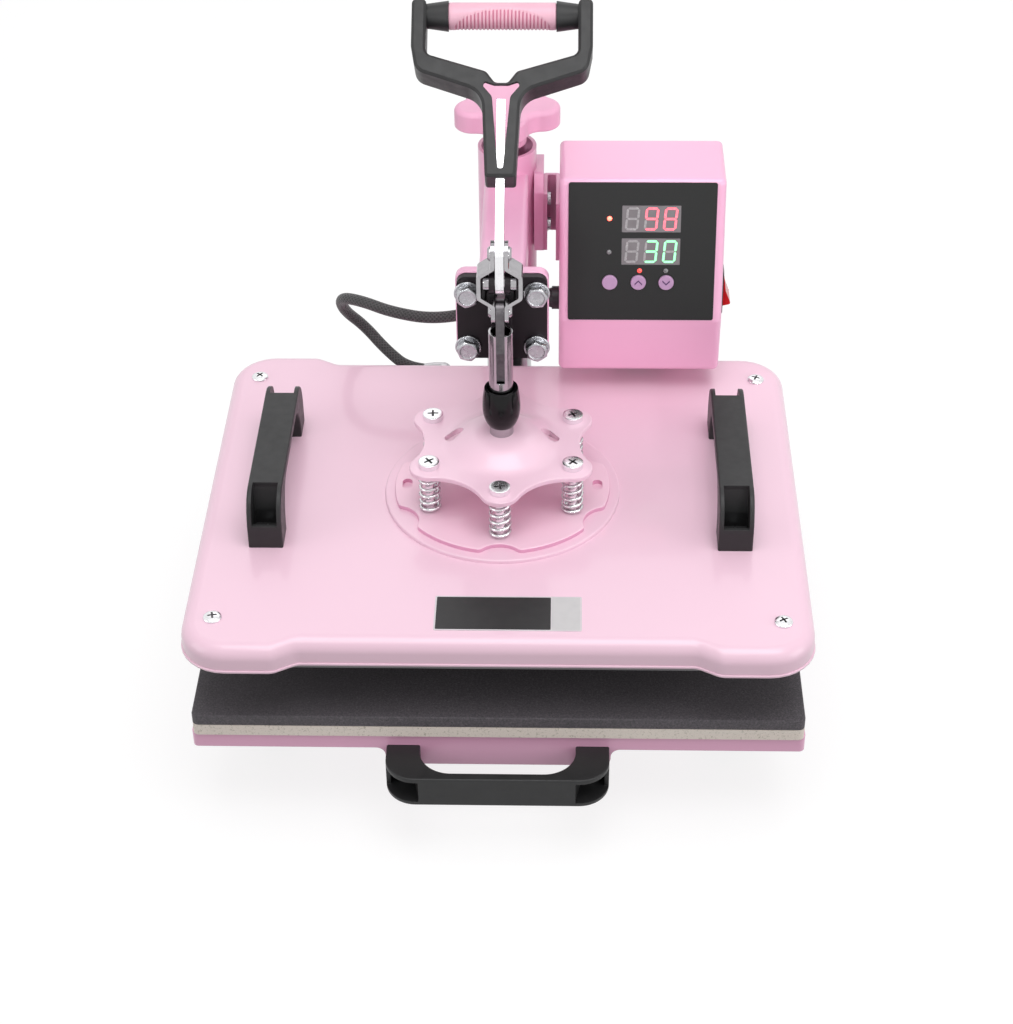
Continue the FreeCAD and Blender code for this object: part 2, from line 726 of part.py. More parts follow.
def handle_hole_spots():
    reach = HANDLE_L / 2 - HANDLE_LEG / 2
    return [(sx * HANDLE_X, HANDLE_MID_Y + end * reach) for sx in (-1, 1) for end in (-1, 1)]


def platen_gland_hole(r):
    z = CABLE_ROUTE[-1][2]
    return rod(r, (PLATEN_GLAND_X, COVER_D / 2 - COVER_STEP - 10, z), (0, 1, 0), 20)


def make_cover():
    shell = cover_block(0.0, RIM_Z, COVER_TOP, COVER_EDGE_R)
    hollow = cover_block(COVER_WALL, RIM_Z - 1, COVER_TOP - COVER_WALL, COVER_EDGE_R - COVER_WALL)
    disc = round_off(rod_z(DISC_R, 0, 0, COVER_TOP - COVER_WALL, DISC_TOP), 1.0, flat_at(DISC_TOP))
    disc_hollow = rod_z(DISC_R - COVER_WALL, 0, 0, COVER_TOP - COVER_WALL - 1, DISC_TOP - COVER_WALL)
    cover = shell.cut(hollow).fuse(disc).cut(disc_hollow)
    for x, y in corner_screw_spots():
        cover = cover.cut(rod_z(CORNER_SCREW_R + HOLE_GAP, x, y, COVER_TOP - 3, COVER_TOP + 1))
    for x, y in handle_hole_spots():
        cover = cover.cut(rod_z(HANDLE_SCREW_R, x, y, COVER_TOP - 3, COVER_TOP + 1))
    for x, y in screw_spots():
        cover = cover.cut(rod_z(THREAD_R, x, y, COVER_TOP - 3, DISC_TOP + 1))
    keep("platen_cover", cover.cut(platen_gland_hole(GLAND_R - 2)).removeSplitter())


def make_heater():
    hx = min(PAD_W / 2, COVER_W / 2 - COVER_WALL - PLATE_CLEAR)
    hy = min(PAD_D / 2, COVER_D / 2 - COVER_STEP - COVER_WALL - PLATE_CLEAR)
    plate_top = PLATE_Z + PLATE_T
    ceiling = COVER_TOP - COVER_WALL
    plate_r = 22.0
    body = plate(hx, hy, plate_r, "z", PLATE_Z, plate_top)
    boss_r = 6.0
    for x, y in corner_screw_spots():
        body = body.fuse(rod_z(boss_r, x, y, plate_top, ceiling))
    for x, y in corner_screw_spots():
        body = body.cut(rod_z(CORNER_SCREW_R, x, y, plate_top - 4, ceiling + 1))
    keep("heating_plate", body.removeSplitter())

    pitch = 2 * (hy - 40.0) / (ELEMENT_RUNS - 1)
    turn = pitch / 2
    far = hx - 50.0 - turn
    z = plate_top + ELEMENT_R
    edges = []
    for i in range(ELEMENT_RUNS):
        y = -(hy - 40.0) + i * pitch
        s = 1 if i % 2 == 0 else -1
        edges.append(Part.LineSegment(V(-s * far, y, z), V(s * far, y, z)).toShape())
        if i < ELEMENT_RUNS - 1:
            edges.append(Part.Arc(V(s * far, y, z), V(s * (far + turn), y + turn, z),
                                  V(s * far, y + pitch, z)).toShape())
    path = Part.Wire(edges)
    start = V(-far, -(hy - 40.0), z)
    profile = Part.Wire([Part.Circle(start, V(1, 0, 0), ELEMENT_R).toShape()])
    keep("heating_element", path.makePipeShell([profile], True, False))

    blanket_z = z + ELEMENT_R
    blanket = plate(hx - 8, hy - 8, plate_r - 4, "z", blanket_z, min(blanket_z + BLANKET_T, ceiling - 1))
    for x, y in corner_screw_spots():
        blanket = blanket.cut(rod_z(boss_r + 1, x, y, blanket_z - 1, ceiling + 1))
    for x, y in handle_hole_spots() + screw_spots():
        blanket = blanket.cut(rod_z(NUT_AF * 0.7, x, y, blanket_z - 1, ceiling + 1))
    stat_x, stat_y, stat_r = 0.0, (hy - 40.0) - 0.5 * pitch, 8.0
    blanket = blanket.cut(rod_z(stat_r + 1, stat_x, stat_y, blanket_z - 1, ceiling + 1))
    keep("insulation_blanket", blanket)
    keep("thermostat", fuse(rod_z(stat_r, stat_x, stat_y, plate_top, plate_top + 5),
                            rod_z(stat_r - 3, stat_x, stat_y, plate_top + 5, plate_top + 8)))

    screws = []
    for x, y in corner_screw_spots():
        head = revolve([(0, COVER_TOP), (4.8, COVER_TOP), (4.3, COVER_TOP + 1.0), (2.6, COVER_TOP + 2.0),
                        (0, COVER_TOP + 2.3)], x, y)
        screws.append(fuse(head, rod_z(CORNER_SCREW_R, x, y, plate_top - 3, COVER_TOP)))
    keep("cover_corner_screws", screws)


def make_spring_stack():
    disc = rod_z(LOWER_R, 0, 0, DISC_TOP, LOWER_TOP)
    for i in range(SCREW_COUNT):
        angle = -90 + 360 * i / SCREW_COUNT
        far = LOWER_R - NOTCH_DEPTH + NOTCH_R
        x, y = polar(far, angle)
        disc = disc.cut(rod_z(NOTCH_R, x, y, DISC_TOP - 1, LOWER_TOP + 1))
    disc = round_off(disc, 4.0, lambda e: e.BoundBox.ZLength > LOWER_T - 0.1)
    for x, y in screw_spots():
        disc = disc.cut(rod_z(THREAD_R, x, y, DISC_TOP - 1, LOWER_TOP + 1))
    for s in (-1, 1):
        disc = disc.cut(rod_z(SMALL_HOLE_R, s * SMALL_HOLE_X, 0, DISC_TOP - 1, LOWER_TOP + 1))
    keep("spring_base_plate", round_off(disc, 0.8, lambda e: flat_at(LOWER_TOP)(e) and rim_edge(e)))

    keep("spring_plate", spring_plate())

    screws = []
    nut_z = DISC_TOP - COVER_WALL
    for x, y in screw_spots():
        head_z = STAR_TOP + 0.05
        head = round_off(rod_z(HEAD_R, x, y, head_z, head_z + HEAD_H), 1.0, flat_at(head_z + HEAD_H))
        shoulder = rod_z(SHOULDER_R, x, y, LOWER_TOP, head_z)
        tail = rod_z(THREAD_R, x, y, nut_z - NUT_T, LOWER_TOP)
        screws.append(fuse(head, shoulder, tail, hexagon(NUT_AF, x, y, nut_z - NUT_T, nut_z)))
    keep("shoulder_screws", screws)
    keep("platen_springs", [coil(x, y) for x, y in screw_spots()])


def rim_edge(edge):
    """Edges of the spring base plate's outside, not of its holes."""
    bb = edge.BoundBox
    return math.hypot(bb.Center.x, bb.Center.y) > LOWER_R - 2 * NOTCH_DEPTH and bb.DiagonalLength > 3 * SMALL_HOLE_R


def coil(x, y):
    """Round-wire compression spring as one swept body with flat rest rings."""
    mean = SPRING_R - SPRING_WIRE / 2
    low = LOWER_TOP + SPRING_WIRE / 2
    rise = SPRING_LEN - SPRING_WIRE
    helix = Part.makeHelix(rise / SPRING_TURNS, rise, mean)
    sides = 6
    section = [V(mean + SPRING_WIRE / 2 * math.cos(2 * math.pi * i / sides), 0,
                 SPRING_WIRE / 2 * math.sin(2 * math.pi * i / sides)) for i in range(sides + 1)]
    wire = Part.makePolygon(section)
    body = Part.Wire(helix.Edges).makePipeShell([wire], True, True)
    body.translate(V(x, y, low))
    return body


def spring_plate():
    """Six-lobed plate with a raised dome that the plunger bolts to."""
    reach = WAIST_R
    hollow_r = waist_radius()
    edges = []
    for i in range(SCREW_COUNT):
        angle = -90 + 360 * i / SCREW_COUNT
        step = 360 / SCREW_COUNT
        cx, cy = polar(SCREW_CIRCLE, angle)
        wx, wy = polar(reach + hollow_r, angle + step / 2)
        px, py = polar(reach + hollow_r, angle - step / 2)
        start = toward(cx, cy, px, py, LOBE_R)
        end = toward(cx, cy, wx, wy, LOBE_R)
        tip = polar(SCREW_CIRCLE + LOBE_R, angle)
        waist = polar(reach, angle + step / 2)
        nx, ny = polar(SCREW_CIRCLE, angle + step)
        next_start = toward(nx, ny, wx, wy, LOBE_R)
        edges.append(Part.Arc(V(*start, STAR_Z), V(*tip, STAR_Z), V(*end, STAR_Z)).toShape())
        edges.append(Part.Arc(V(*end, STAR_Z), V(*waist, STAR_Z), V(*next_start, STAR_Z)).toShape())
    star = Part.Face(Part.Wire(edges)).extrude(V(0, 0, STAR_T))
    star = round_off(star, 0.8, flat_at(STAR_TOP))
    bend = 0.35 * DOME_R
    dome = dome_solid(STAR_TOP, DOME_R, DOME_TOP_R, bend)
    under = dome_solid(STAR_TOP, DOME_R - STAR_T * 0.6, DOME_TOP_R - STAR_T * 0.4, bend)
    under.translate(V(0, 0, -STAR_T))
    body = star.fuse(dome).cut(under.fuse(rod_z(DOME_R - STAR_T * 0.6, 0, 0, STAR_Z - 3, STAR_Z)))
    body = body.cut(rod_z(BOLT_R + HOLE_GAP, 0, 0, STAR_Z - 1, DOME_TOP + 1))
    for x, y in screw_spots():
        body = body.cut(rod_z(SHOULDER_R + RUN_GAP, x, y, STAR_Z - 1, STAR_TOP + 1))
    for s in (-1, 1):
        slot = plate(SLOT_L / 2, SLOT_W / 2, SLOT_W / 2 - 0.01, "z", STAR_Z - 1, DOME_TOP + 1)
        slot.rotate(V(0, 0, 0), V(0, 0, 1), -s * SLOT_TILT)
        slot.translate(V(s * SLOT_X, SLOT_Y, 0))
        body = body.cut(slot)
    return body.removeSplitter()


def waist_radius():
    """Radius of the hollow between two lobes that is tangent to both."""
    half = math.radians(180 / SCREW_COUNT)
    cx, cy = SCREW_CIRCLE * math.cos(half), SCREW_CIRCLE * math.sin(half)
    gap = WAIST_R - cx
    return (cy ** 2 + gap ** 2 - LOBE_R ** 2) / (2 * (LOBE_R - gap))


def toward(x0, y0, x1, y1, reach):
    d = math.hypot(x1 - x0, y1 - y0)
    return x0 + (x1 - x0) * reach / d, y0 + (y1 - y0) * reach / d


def dome_solid(z, foot_r, top_r, bend):
    """Bell-shaped boss that rises from z."""
    slope = foot_r - top_r
    curve = Part.BezierCurve()
    curve.setPoles([V(foot_r, 0, z), V(foot_r - 0.45 * slope, 0, z), V(top_r + 0.55 * slope, 0, z + DOME_H),
                    V(top_r, 0, z + DOME_H)])
    edges = [
        curve.toShape(),
        Part.LineSegment(V(top_r, 0, z + DOME_H), V(0, 0, z + DOME_H)).toShape(),
        Part.LineSegment(V(0, 0, z + DOME_H), V(0, 0, z)).toShape(),
        Part.LineSegment(V(0, 0, z), V(foot_r, 0, z)).toShape(),
    ]
    return Part.Face(Part.Wire(edges)).revolve(V(0, 0, 0), V(0, 0, 1), 360)


# Plunger and toggle


def guide_pin_heights():
    top = TUBE_TOP + 4.0
    return (top, top - GUIDE_PITCH)


def make_plunger():
    tube = rod_z(TUBE_R, 0, 0, DOME_TOP, TUBE_TOP).cut(rod_z(TUBE_BORE_R, 0, 0, DOME_TOP + 14, TUBE_TOP + 1))
    tube = tube.cut(rod_z(BOLT_R, 0, 0, DOME_TOP - 1, DOME_TOP + 12))
    foot_z = TUBE_TOP - TONGUE_FOOT
    slot_half = TONGUE_T / 2
    slot = box(-slot_half, slot_half, -TUBE_R - 1, TUBE_R + 1, foot_z, TUBE_TOP + 1)
    keep("plunger_tube", tube.cut(slot))

    front = -TONGUE_R
    back = GUIDE_Y + 8.0
    pin_zs = guide_pin_heights()
    low_back = pin_zs[1] - 8.0
    body = slab([
        (front, PIN_LOW_Z, 0), (front, TUBE_TOP - 12, 3.0), (-TUBE_BORE_R + 1.0, foot_z + 0.2, 1.0),
        (TUBE_BORE_R - 0.5, foot_z + 0.2, 1.0), (TUBE_BORE_R - 0.5, low_back - 4.0, 0), (TUBE_R + 2.0, low_back, 2.0),
        (back, low_back, 4.0), (back, pin_zs[0] + 8.0, 6.0), (TONGUE_R + 2.0, PIN_LOW_Z, 4.0), (TONGUE_R, PIN_LOW_Z, 0),
    ], "x", -slot_half, slot_half)
    body = fuse(body, rod_x(TONGUE_R, 0, PIN_LOW_Z, -slot_half, slot_half))
    for z in pin_zs:
        body = body.cut(rod_x(GUIDE_PIN_R, GUIDE_Y, z, -slot_half - 1, slot_half + 1))
    body = body.cut(rod_x(RIVET_R, 0, PIN_LOW_Z, -slot_half - 1, slot_half + 1))
    keep("plunger_tongue", body)

    pin_half = CHEEK_GAP + CHEEK_T
    pins = [rod_x(GUIDE_PIN_R, GUIDE_Y, z, -pin_half, pin_half) for z in pin_zs]
    pins.append(rod_x(RIVET_R, 0, PIN_LOW_Z, -slot_half, slot_half))
    keep("plunger_pins", pins)

    z0 = DOME_TOP + BARREL_LIFT
    z1 = z0 + BARREL_LEN
    inner = TUBE_R + 0.05
    barrel = barrel_solid(z0, z1, inner)
    keep("barrel_sleeve", barrel)

    bolt_z = DOME_TOP - STAR_T
    head = hexagon(BOLT_AF, 0, 0, bolt_z - BOLT_HEAD - 0.1, bolt_z)
    keep("plunger_bolt", fuse(head, rod_z(BOLT_R, 0, 0, bolt_z, DOME_TOP + 12)))


def barrel_solid(z0, z1, inner):
    """Barrel-shaped grip sleeve with a cupped mouth."""
    length = z1 - z0
    side = Part.BSplineCurve()
    side.interpolate([V(BARREL_END_R, 0, z0), V(BARREL_R - 0.5, 0, z0 + 0.28 * length),
                      V(BARREL_R, 0, z0 + 0.5 * length), V(BARREL_R - 0.3, 0, z0 + 0.72 * length),
                      V(BARREL_MOUTH_R, 0, z1)])
    lip = inner + 1.2
    points = [V(BARREL_MOUTH_R, 0, z1), V(lip, 0, z1), V(inner, 0, z1 - 4), V(inner, 0, z0), V(BARREL_END_R, 0, z0)]
    edges = [side.toShape()]
    for a, b in zip(points, points[1:]):
        edges.append(Part.LineSegment(a, b).toShape())
    return Part.Face(Part.Wire(edges)).revolve(V(0, 0, 0), V(0, 0, 1), 360)


def link_strip(side):
    """One bulged link plate on the side given by its sign."""
    inner = TONGUE_T / 2 + EAR_GAP
    outer = inner + EAR_T
    mid = PIVOT_Z
    half = BULGE_LONG / 2
    bend = half + BULGE_TURN
    top = PIN_TOP_Z + EAR_R
    low = PIN_LOW_Z - EAR_R
    inside = [(inner, low), (inner, mid - bend), (BULGE_IN, mid - half), (BULGE_IN, mid + half), (inner, mid + bend),
              (inner, top)]
    outside = [(outer, top), (outer, mid + bend + 1.0), (BULGE_IN + EAR_T, mid + half + 1.0),
               (BULGE_IN + EAR_T, mid - half - 1.0), (outer, mid - bend - 1.0), (outer, low)]
    corners = [(side * x, z, r) for (x, z), r in zip(inside + outside, (0, 2.0, 1.5, 1.5, 2.0, 0, 0, 2.0, 3.0, 3.0, 2.0, 0))]
    strip = slab(corners, "y", -LINK_W / 2, LINK_W / 2)
    ends = fuse(
        rod_x(EAR_R, 0, PIN_TOP_Z, -30, 30), rod_x(EAR_R, 0, PIN_LOW_Z, -30, 30),
        box(-30, 30, -LINK_W / 2, LINK_W / 2, PIN_LOW_Z, PIN_TOP_Z),
    )
    return strip.common(ends)


def make_links():
    links = []
    for s in (-1, 1):
        link = link_strip(s)
        link = link.cut(rod_x(RIVET_R, 0, PIN_TOP_Z, -30, 30))
        links.append(link)
    keep("toggle_links", links)

    inner = TONGUE_T / 2 + EAR_GAP
    outer = inner + EAR_T
    top_pin = rod_x(RIVET_R, 0, PIN_TOP_Z, -outer, outer)
    rivets = [fuse(top_pin, *[rivet_head(s, outer, PIN_TOP_Z) for s in (-1, 1)])]
    rivets.extend(rivet_head(s, outer, PIN_LOW_Z) for s in (-1, 1))
    keep("link_rivets", rivets)


def rivet_head(side, face_x, z):
    head = revolve([(0, 0), (RIVET_HEAD_R, 0), (RIVET_HEAD_R, 0.8), (RIVET_HEAD_R - 1.2, RIVET_HEAD_T),
                    (0, RIVET_HEAD_T)], 0, 0)
    head.rotate(V(0, 0, 0), V(0, 1, 0), side * 90)
    head.translate(V(side * face_x, 0, z))
    return head


def lever_point(u, x=0.0, n=0.0):
    """Point at distance u above the toggle pin along the open lever, n out of its face."""
    a = math.radians(LEAN)
    return V(x, u * math.sin(a) - n * math.cos(a), PIN_TOP_Z + u * math.cos(a) + n * math.sin(a))


def lever_slab(corners, low, high):
    """Outline in (x, u) on the lever's plane, pulled from low to high across it."""
    place = lambda x, u: lever_point(u, x, low)
    a = math.radians(LEAN)
    way = V(0, -math.cos(a), math.sin(a)) * (high - low)
    return Part.Face(Part.Wire(rounded_edges(corners, place))).extrude(way)


def make_lever():
    half = TONGUE_T / 2
    lower = fuse(
        rod_x(EAR_R - 0.4, 0, PIVOT_Z, -half, half), rod_x(EAR_R - 0.4, 0, PIN_TOP_Z, -half, half),
        box(-half, half, -EAR_R + 0.4, EAR_R - 0.4, PIVOT_Z, PIN_TOP_Z),
    )
    shank = lever_slab([(-half, 0, 0), (half, 0, 0), (half, BAR_END, 0), (-half, BAR_END, 0)], -BAR_W / 2, BAR_W / 2)
    bar = fuse(lower, shank)
    bar = bar.cut(rod_x(PIVOT_R + RUN_GAP, 0, PIVOT_Z, -half - 1, half + 1))
    bar = bar.cut(rod_x(RIVET_R + RUN_GAP, 0, PIN_TOP_Z, -half - 1, half + 1))
    keep("lever_bar", bar)

    body = lever_frame()
    pocket = lever_slab([(-half, HANDLE_FOOT - 1, 0), (half, HANDLE_FOOT - 1, 0), (half, BAR_END, 0),
                         (-half, BAR_END, 0)], -BAR_W / 2, BAR_W / 2)
    keep("lever_handle", body.cut(pocket))

    centre = lever_point(GRIP_AT)
    outer = Part.makeCylinder(GRIP_R, 2 * GRIP_HALF, centre + V(-GRIP_HALF, 0, 0), V(1, 0, 0))
    outer = round_off(outer, 1.0, lambda e: e.BoundBox.XLength < 1e-6)
    bore = Part.makeCylinder(GRIP_ROD_R, 2 * GRIP_HALF + 2, centre + V(-GRIP_HALF - 1, 0, 0), V(1, 0, 0))
    keep("lever_grip", outer.cut(bore))


def lever_frame():
    """Y-shaped lever handle: stem, two spread arms, two side arms and the grip's core."""
    t = LEVER_T / 2
    w = LEVER_HALF_W
    inner = w - LEVER_ARM
    tip = GRIP_AT + LEVER_TIP
    right = [
        (STEM_HALF_FOOT, HANDLE_FOOT, 2.0), (STEM_HALF_TOP, STEM_TOP, 14.0), (w - 3.0, SHOULDER_U - 6.0, 9.0),
        (w, SHOULDER_U + 10.0, 5.0), (w, tip, 4.0), (inner, tip, 4.0), (inner, SHOULDER_U + 5.0, 5.0),
        (9.5, SHOULDER_U - 6.5, 5.0), (4.0, NOTCH_U, 3.5),
    ]
    left = [(-x, u, r) for x, u, r in reversed(right)]
    frame = lever_slab(right + left, -t, t)
    frame = frame.makeChamfer(LEVER_EDGE, [e for e in frame.Edges if on_face(e, t) or on_face(e, -t)])
    slot_top = NOTCH_U - 4.5
    slot = lever_slab([
        (-SLOT_HALF_FOOT, SLOT_FOOT, 1.4), (SLOT_HALF_FOOT, SLOT_FOOT, 1.4), (SLOT_HALF_TOP, slot_top - 7.0, 4.0),
        (9.0, slot_top, 1.2), (0.0, slot_top - 1.6, 6.0), (-9.0, slot_top, 1.2), (-SLOT_HALF_TOP, slot_top - 7.0, 4.0),
    ], -t - 1, t + 1)
    frame = frame.cut(slot)
    centre = lever_point(GRIP_AT)
    core = Part.makeCylinder(GRIP_ROD_R, 2 * inner + 2, centre + V(-inner - 1, 0, 0), V(1, 0, 0))
    cone_len = inner - GRIP_HALF
    cones = []
    for s in (-1, 1):
        start = centre + V(s * GRIP_HALF, 0, 0)
        cones.append(Part.makeCone(GRIP_R, GRIP_R - 2.0, cone_len + 1, start, V(s, 0, 0)))
    return fuse(frame, core, *cones)


def on_face(edge, n):
    """Edges that lie on the lever handle's face at distance n from its middle plane."""
    a = math.radians(LEAN)
    normal = V(0, -math.cos(a), math.sin(a))
    origin = lever_point(0.0, 0.0, n)
    return all(abs((v.Point - origin).dot(normal)) < 1e-4 for v in edge.Vertexes)


# Arm, clamp bracket and column


def clamp_bolt_spots():
    mid = CLAMP_TOP - CLAMP_H / 2 - 1.5
    return [(sx * BOLT_DX / 2, mid + sz * BOLT_DZ / 2) for sx in (-1, 1) for sz in (-1, 1)]


def make_clamp():
    back = FACE_Y + CLAMP_T
    mid = CLAMP_TOP - CLAMP_H / 2
    face = plate(CLAMP_W / 2, CLAMP_H / 2, CLAMP_R, "y", FACE_Y, back, (0, mid))
    pin_zs = guide_pin_heights()
    low = pin_zs[1] - STROKE - 10.0
    slot_low = pin_zs[1] - STROKE
    cheeks = []
    nose = CHEEK_NOSE_R
    for s in (-1, 1):
        x0, x1 = sorted((s * CHEEK_GAP, s * (CHEEK_GAP + CHEEK_T)))
        cheek = slab([
            (0, PIVOT_Z - nose, 0), (CHEEK_FRONT, PIVOT_Z - nose, 2.0), (CHEEK_FRONT, low, 3.0),
            (GUIDE_Y + 9.0, low, 4.0), (FACE_Y, CLAMP_Z + 4.0, 0), (FACE_Y, CLAMP_TOP - 4.0, 0),
            (GUIDE_Y, PIVOT_Z + nose, 8.0), (0, PIVOT_Z + nose, 0),
        ], "x", x0, x1)
        cheek = fuse(cheek, rod_x(nose, 0, PIVOT_Z, x0, x1))
        slot_r = GUIDE_PIN_R + RUN_GAP
        slot = fuse(
            rod_x(slot_r, GUIDE_Y, pin_zs[0], x0 - 1, x1 + 1), rod_x(slot_r, GUIDE_Y, slot_low, x0 - 1, x1 + 1),
            box(x0 - 1, x1 + 1, GUIDE_Y - slot_r, GUIDE_Y + slot_r, slot_low, pin_zs[0]),
        )
        cheeks.append(cheek.cut(slot).cut(rod_x(PIVOT_R, 0, PIVOT_Z, x0 - 1, x1 + 1)))
    bracket = fuse(face, *cheeks)
    for x, z in clamp_bolt_spots():
        bracket = bracket.cut(rod(BOLT_R + HOLE_GAP, (x, FACE_Y - 1, z), (0, 1, 0), CLAMP_T + 2))
    keep("clamp_bracket", bracket)

    outer = CHEEK_GAP + CHEEK_T
    head_t = 3.6
    pin = rod_x(PIVOT_R, 0, PIVOT_Z, -outer, outer)
    heads = [rod_x(PIVOT_HEAD_R, 0, PIVOT_Z, min(s * outer, s * (outer + head_t)), max(s * outer, s * (outer + head_t)))
             for s in (-1, 1)]
    keep("pivot_pin", fuse(pin, *heads))

    bolts = []
    for x, z in clamp_bolt_spots():
        head = fuse(hexagon(BOLT_AF, 0, 0, 0, BOLT_HEAD),
                    rod_z(BOLT_R, 0, 0, -WASHER_T - CLAMP_T - FLANGE_T - 2.0, 0))
        rim = rod_z(BOLT_AF / 2 + 0.6, 0, 0, BOLT_HEAD - 1.2, BOLT_HEAD + 1)
        cone = Part.makeCone(BOLT_AF / 2 + 1.4, BOLT_AF / 2 - 0.4, 1.8, V(0, 0, BOLT_HEAD - 1.8))
        low_part = rod_z(BOLT_AF, 0, 0, -30, BOLT_HEAD - 1.8)
        head = head.common(fuse(low_part, cone))
        washer = ring_z(WASHER_R, BOLT_R, 0, 0, -WASHER_T, 0)
        for piece in (head, washer):
            piece.rotate(V(0, 0, 0), V(1, 0, 0), 90)
            piece.translate(V(x, FACE_Y - WASHER_T, z))
            bolts.append(piece)
    keep("clamp_bolts", bolts)


def make_arm():
    mid = FLANGE_TOP - (CLAMP_H + 2 * FLANGE_OVER) / 2
    flange = plate(CLAMP_W / 2 + FLANGE_OVER, CLAMP_H / 2 + FLANGE_OVER, CLAMP_R + FLANGE_OVER, "y",
                   FACE_Y + CLAMP_T, FLANGE_BACK, (0, mid))
    flange = round_off(flange, 1.2, lambda e: abs(e.BoundBox.YMax - FACE_Y - CLAMP_T) < 1e-6)
    arm_mid = ARM_TOP - ARM_H / 2
    reach = COLUMN_Y - math.sqrt(SLEEVE_R ** 2 - (ARM_W / 2) ** 2) + SLEEVE_WALL * 0.6
    tube = plate(ARM_W / 2, ARM_H / 2, ARM_R, "y", FLANGE_BACK, reach, (0, arm_mid))
    tube_in = plate(ARM_W / 2 - ARM_WALL, ARM_H / 2 - ARM_WALL, ARM_R - ARM_WALL, "y", FLANGE_BACK, reach + 10, (0, arm_mid))
    sleeve = rod_z(SLEEVE_R, 0, COLUMN_Y, SLEEVE_FOOT, SLEEVE_TOP)
    sleeve_in = rod_z(SLEEVE_R - SLEEVE_WALL, 0, COLUMN_Y, SLEEVE_FOOT - 1, SLEEVE_TOP + 1)
    wire_hole_r = 6.0
    wire_hole = rod_z(wire_hole_r, 0, FLANGE_BACK + 40, ARM_TOP - ARM_H - 1, ARM_TOP - ARM_H + ARM_WALL + 1)
    lug = slab([
        (COLUMN_Y - 18, BRACKET_Z0, 2.0), (COLUMN_Y + 18, BRACKET_Z0, 2.0), (COLUMN_Y + 18, BRACKET_Z0 + 57, 2.0),
        (COLUMN_Y - 10, BRACKET_Z0 + 57, 4.0), (COLUMN_Y - 18, BRACKET_Z0 + 46, 4.0),
    ], "x", SLEEVE_R - 1.5, SLEEVE_R - 1.5 + LUG_T + 1.5)
    body = fuse(sleeve, tube.cut(tube_in), flange, lug).cut(sleeve_in)
    nut_z = SLEEVE_TOP - NUT_PLATE_DROP - NUT_PLATE_T
    nut_plate = ring_z(SLEEVE_R - SLEEVE_WALL, KNOB_SCREW_R + RUN_GAP, 0, COLUMN_Y, nut_z, nut_z + NUT_PLATE_T)
    body = fuse(body, nut_plate).cut(wire_hole)
    for x, z in clamp_bolt_spots():
        body = body.cut(rod(BOLT_R + HOLE_GAP, (x, FACE_Y, z), (0, 1, 0), CLAMP_T + FLANGE_T + 1))
    for z in bracket_screw_heights():
        body = body.cut(rod_x(THREAD_R, COLUMN_Y, z, SLEEVE_R - SLEEVE_WALL + 0.5, SLEEVE_R + LUG_T + 1))
    keep("swing_arm", body)

    bush_out = SLEEVE_R - SLEEVE_WALL - RUN_GAP
    bush_in = POST_R + RUN_GAP
    foot = SLEEVE_FOOT - 0.1
    low_bush = fuse(rod_z(BUSH_FLANGE_R, 0, COLUMN_Y, foot - BUSH_FLANGE_T, foot),
                    rod_z(bush_out, 0, COLUMN_Y, foot, SLEEVE_FOOT + BUSH_LEN))
    low_bush = low_bush.cut(rod_z(bush_in, 0, COLUMN_Y, foot - 10, SLEEVE_FOOT + BUSH_LEN + 1))
    top_end = POST_TOP - 2.0
    top_bush = ring_z(bush_out, bush_in, 0, COLUMN_Y, top_end - BUSH_LEN, top_end)
    keep("post_bushes", [low_bush, top_bush])


def make_knob():
    screw_top = KNOB_Z + 6.0
    keep("knob_screw", rod_z(KNOB_SCREW_R, 0, COLUMN_Y, POST_TOP + 0.1, screw_top))
    lobe_at = KNOB_R - KNOB_LOBE_R
    step = 360 / KNOB_LOBES
    half = math.radians(step / 2)
    cx, cy = lobe_at * math.cos(half), lobe_at * math.sin(half)
    gap = KNOB_WAIST_R - cx
    hollow = (cy ** 2 + gap ** 2 - KNOB_LOBE_R ** 2) / (2 * (KNOB_LOBE_R - gap))
    edges = []
    for i in range(KNOB_LOBES):
        angle = KNOB_TURN + i * step
        cx, cy = polar(lobe_at, angle)
        wx, wy = polar(KNOB_WAIST_R + hollow, angle + step / 2)
        px, py = polar(KNOB_WAIST_R + hollow, angle - step / 2)
        nx, ny = polar(lobe_at, angle + step)
        start = toward(cx, cy, px, py, KNOB_LOBE_R)
        end = toward(cx, cy, wx, wy, KNOB_LOBE_R)
        follow = toward(nx, ny, wx, wy, KNOB_LOBE_R)
        edges.append(Part.Arc(V(*start, KNOB_Z), V(*polar(KNOB_R, angle), KNOB_Z), V(*end, KNOB_Z)).toShape())
        edges.append(Part.Arc(V(*end, KNOB_Z), V(*polar(KNOB_WAIST_R, angle + step / 2), KNOB_Z),
                              V(*follow, KNOB_Z)).toShape())
    star = Part.Face(Part.Wire(edges)).extrude(V(0, 0, KNOB_T))
    star = round_off(star, KNOB_EDGE, flat_at(KNOB_Z + KNOB_T))
    star = round_off(star, KNOB_EDGE / 2, flat_at(KNOB_Z))
    star.translate(V(0, COLUMN_Y, 0))
    hub = rod_z(KNOB_HUB_R, 0, COLUMN_Y, SLEEVE_TOP + 3.0, KNOB_Z + 1)
    keep("height_knob", fuse(star, hub).cut(rod_z(KNOB_SCREW_R, 0, COLUMN_Y, SLEEVE_TOP, screw_top)))


# Control box


def panel_frame():
    """Middle of the sloping face, its up direction and its outward normal."""
    up = V(0, BOX_TOP_Y - BOX_NOSE_Y, BOX_TOP_Z - BOX_NOSE_Z).normalize()
    out = V(0, -up.z, up.y)
    middle = V(BOX_X0 + BOX_W / 2, (BOX_NOSE_Y + BOX_TOP_Y) / 2, (BOX_NOSE_Z + BOX_TOP_Z) / 2)
    return middle, up, out


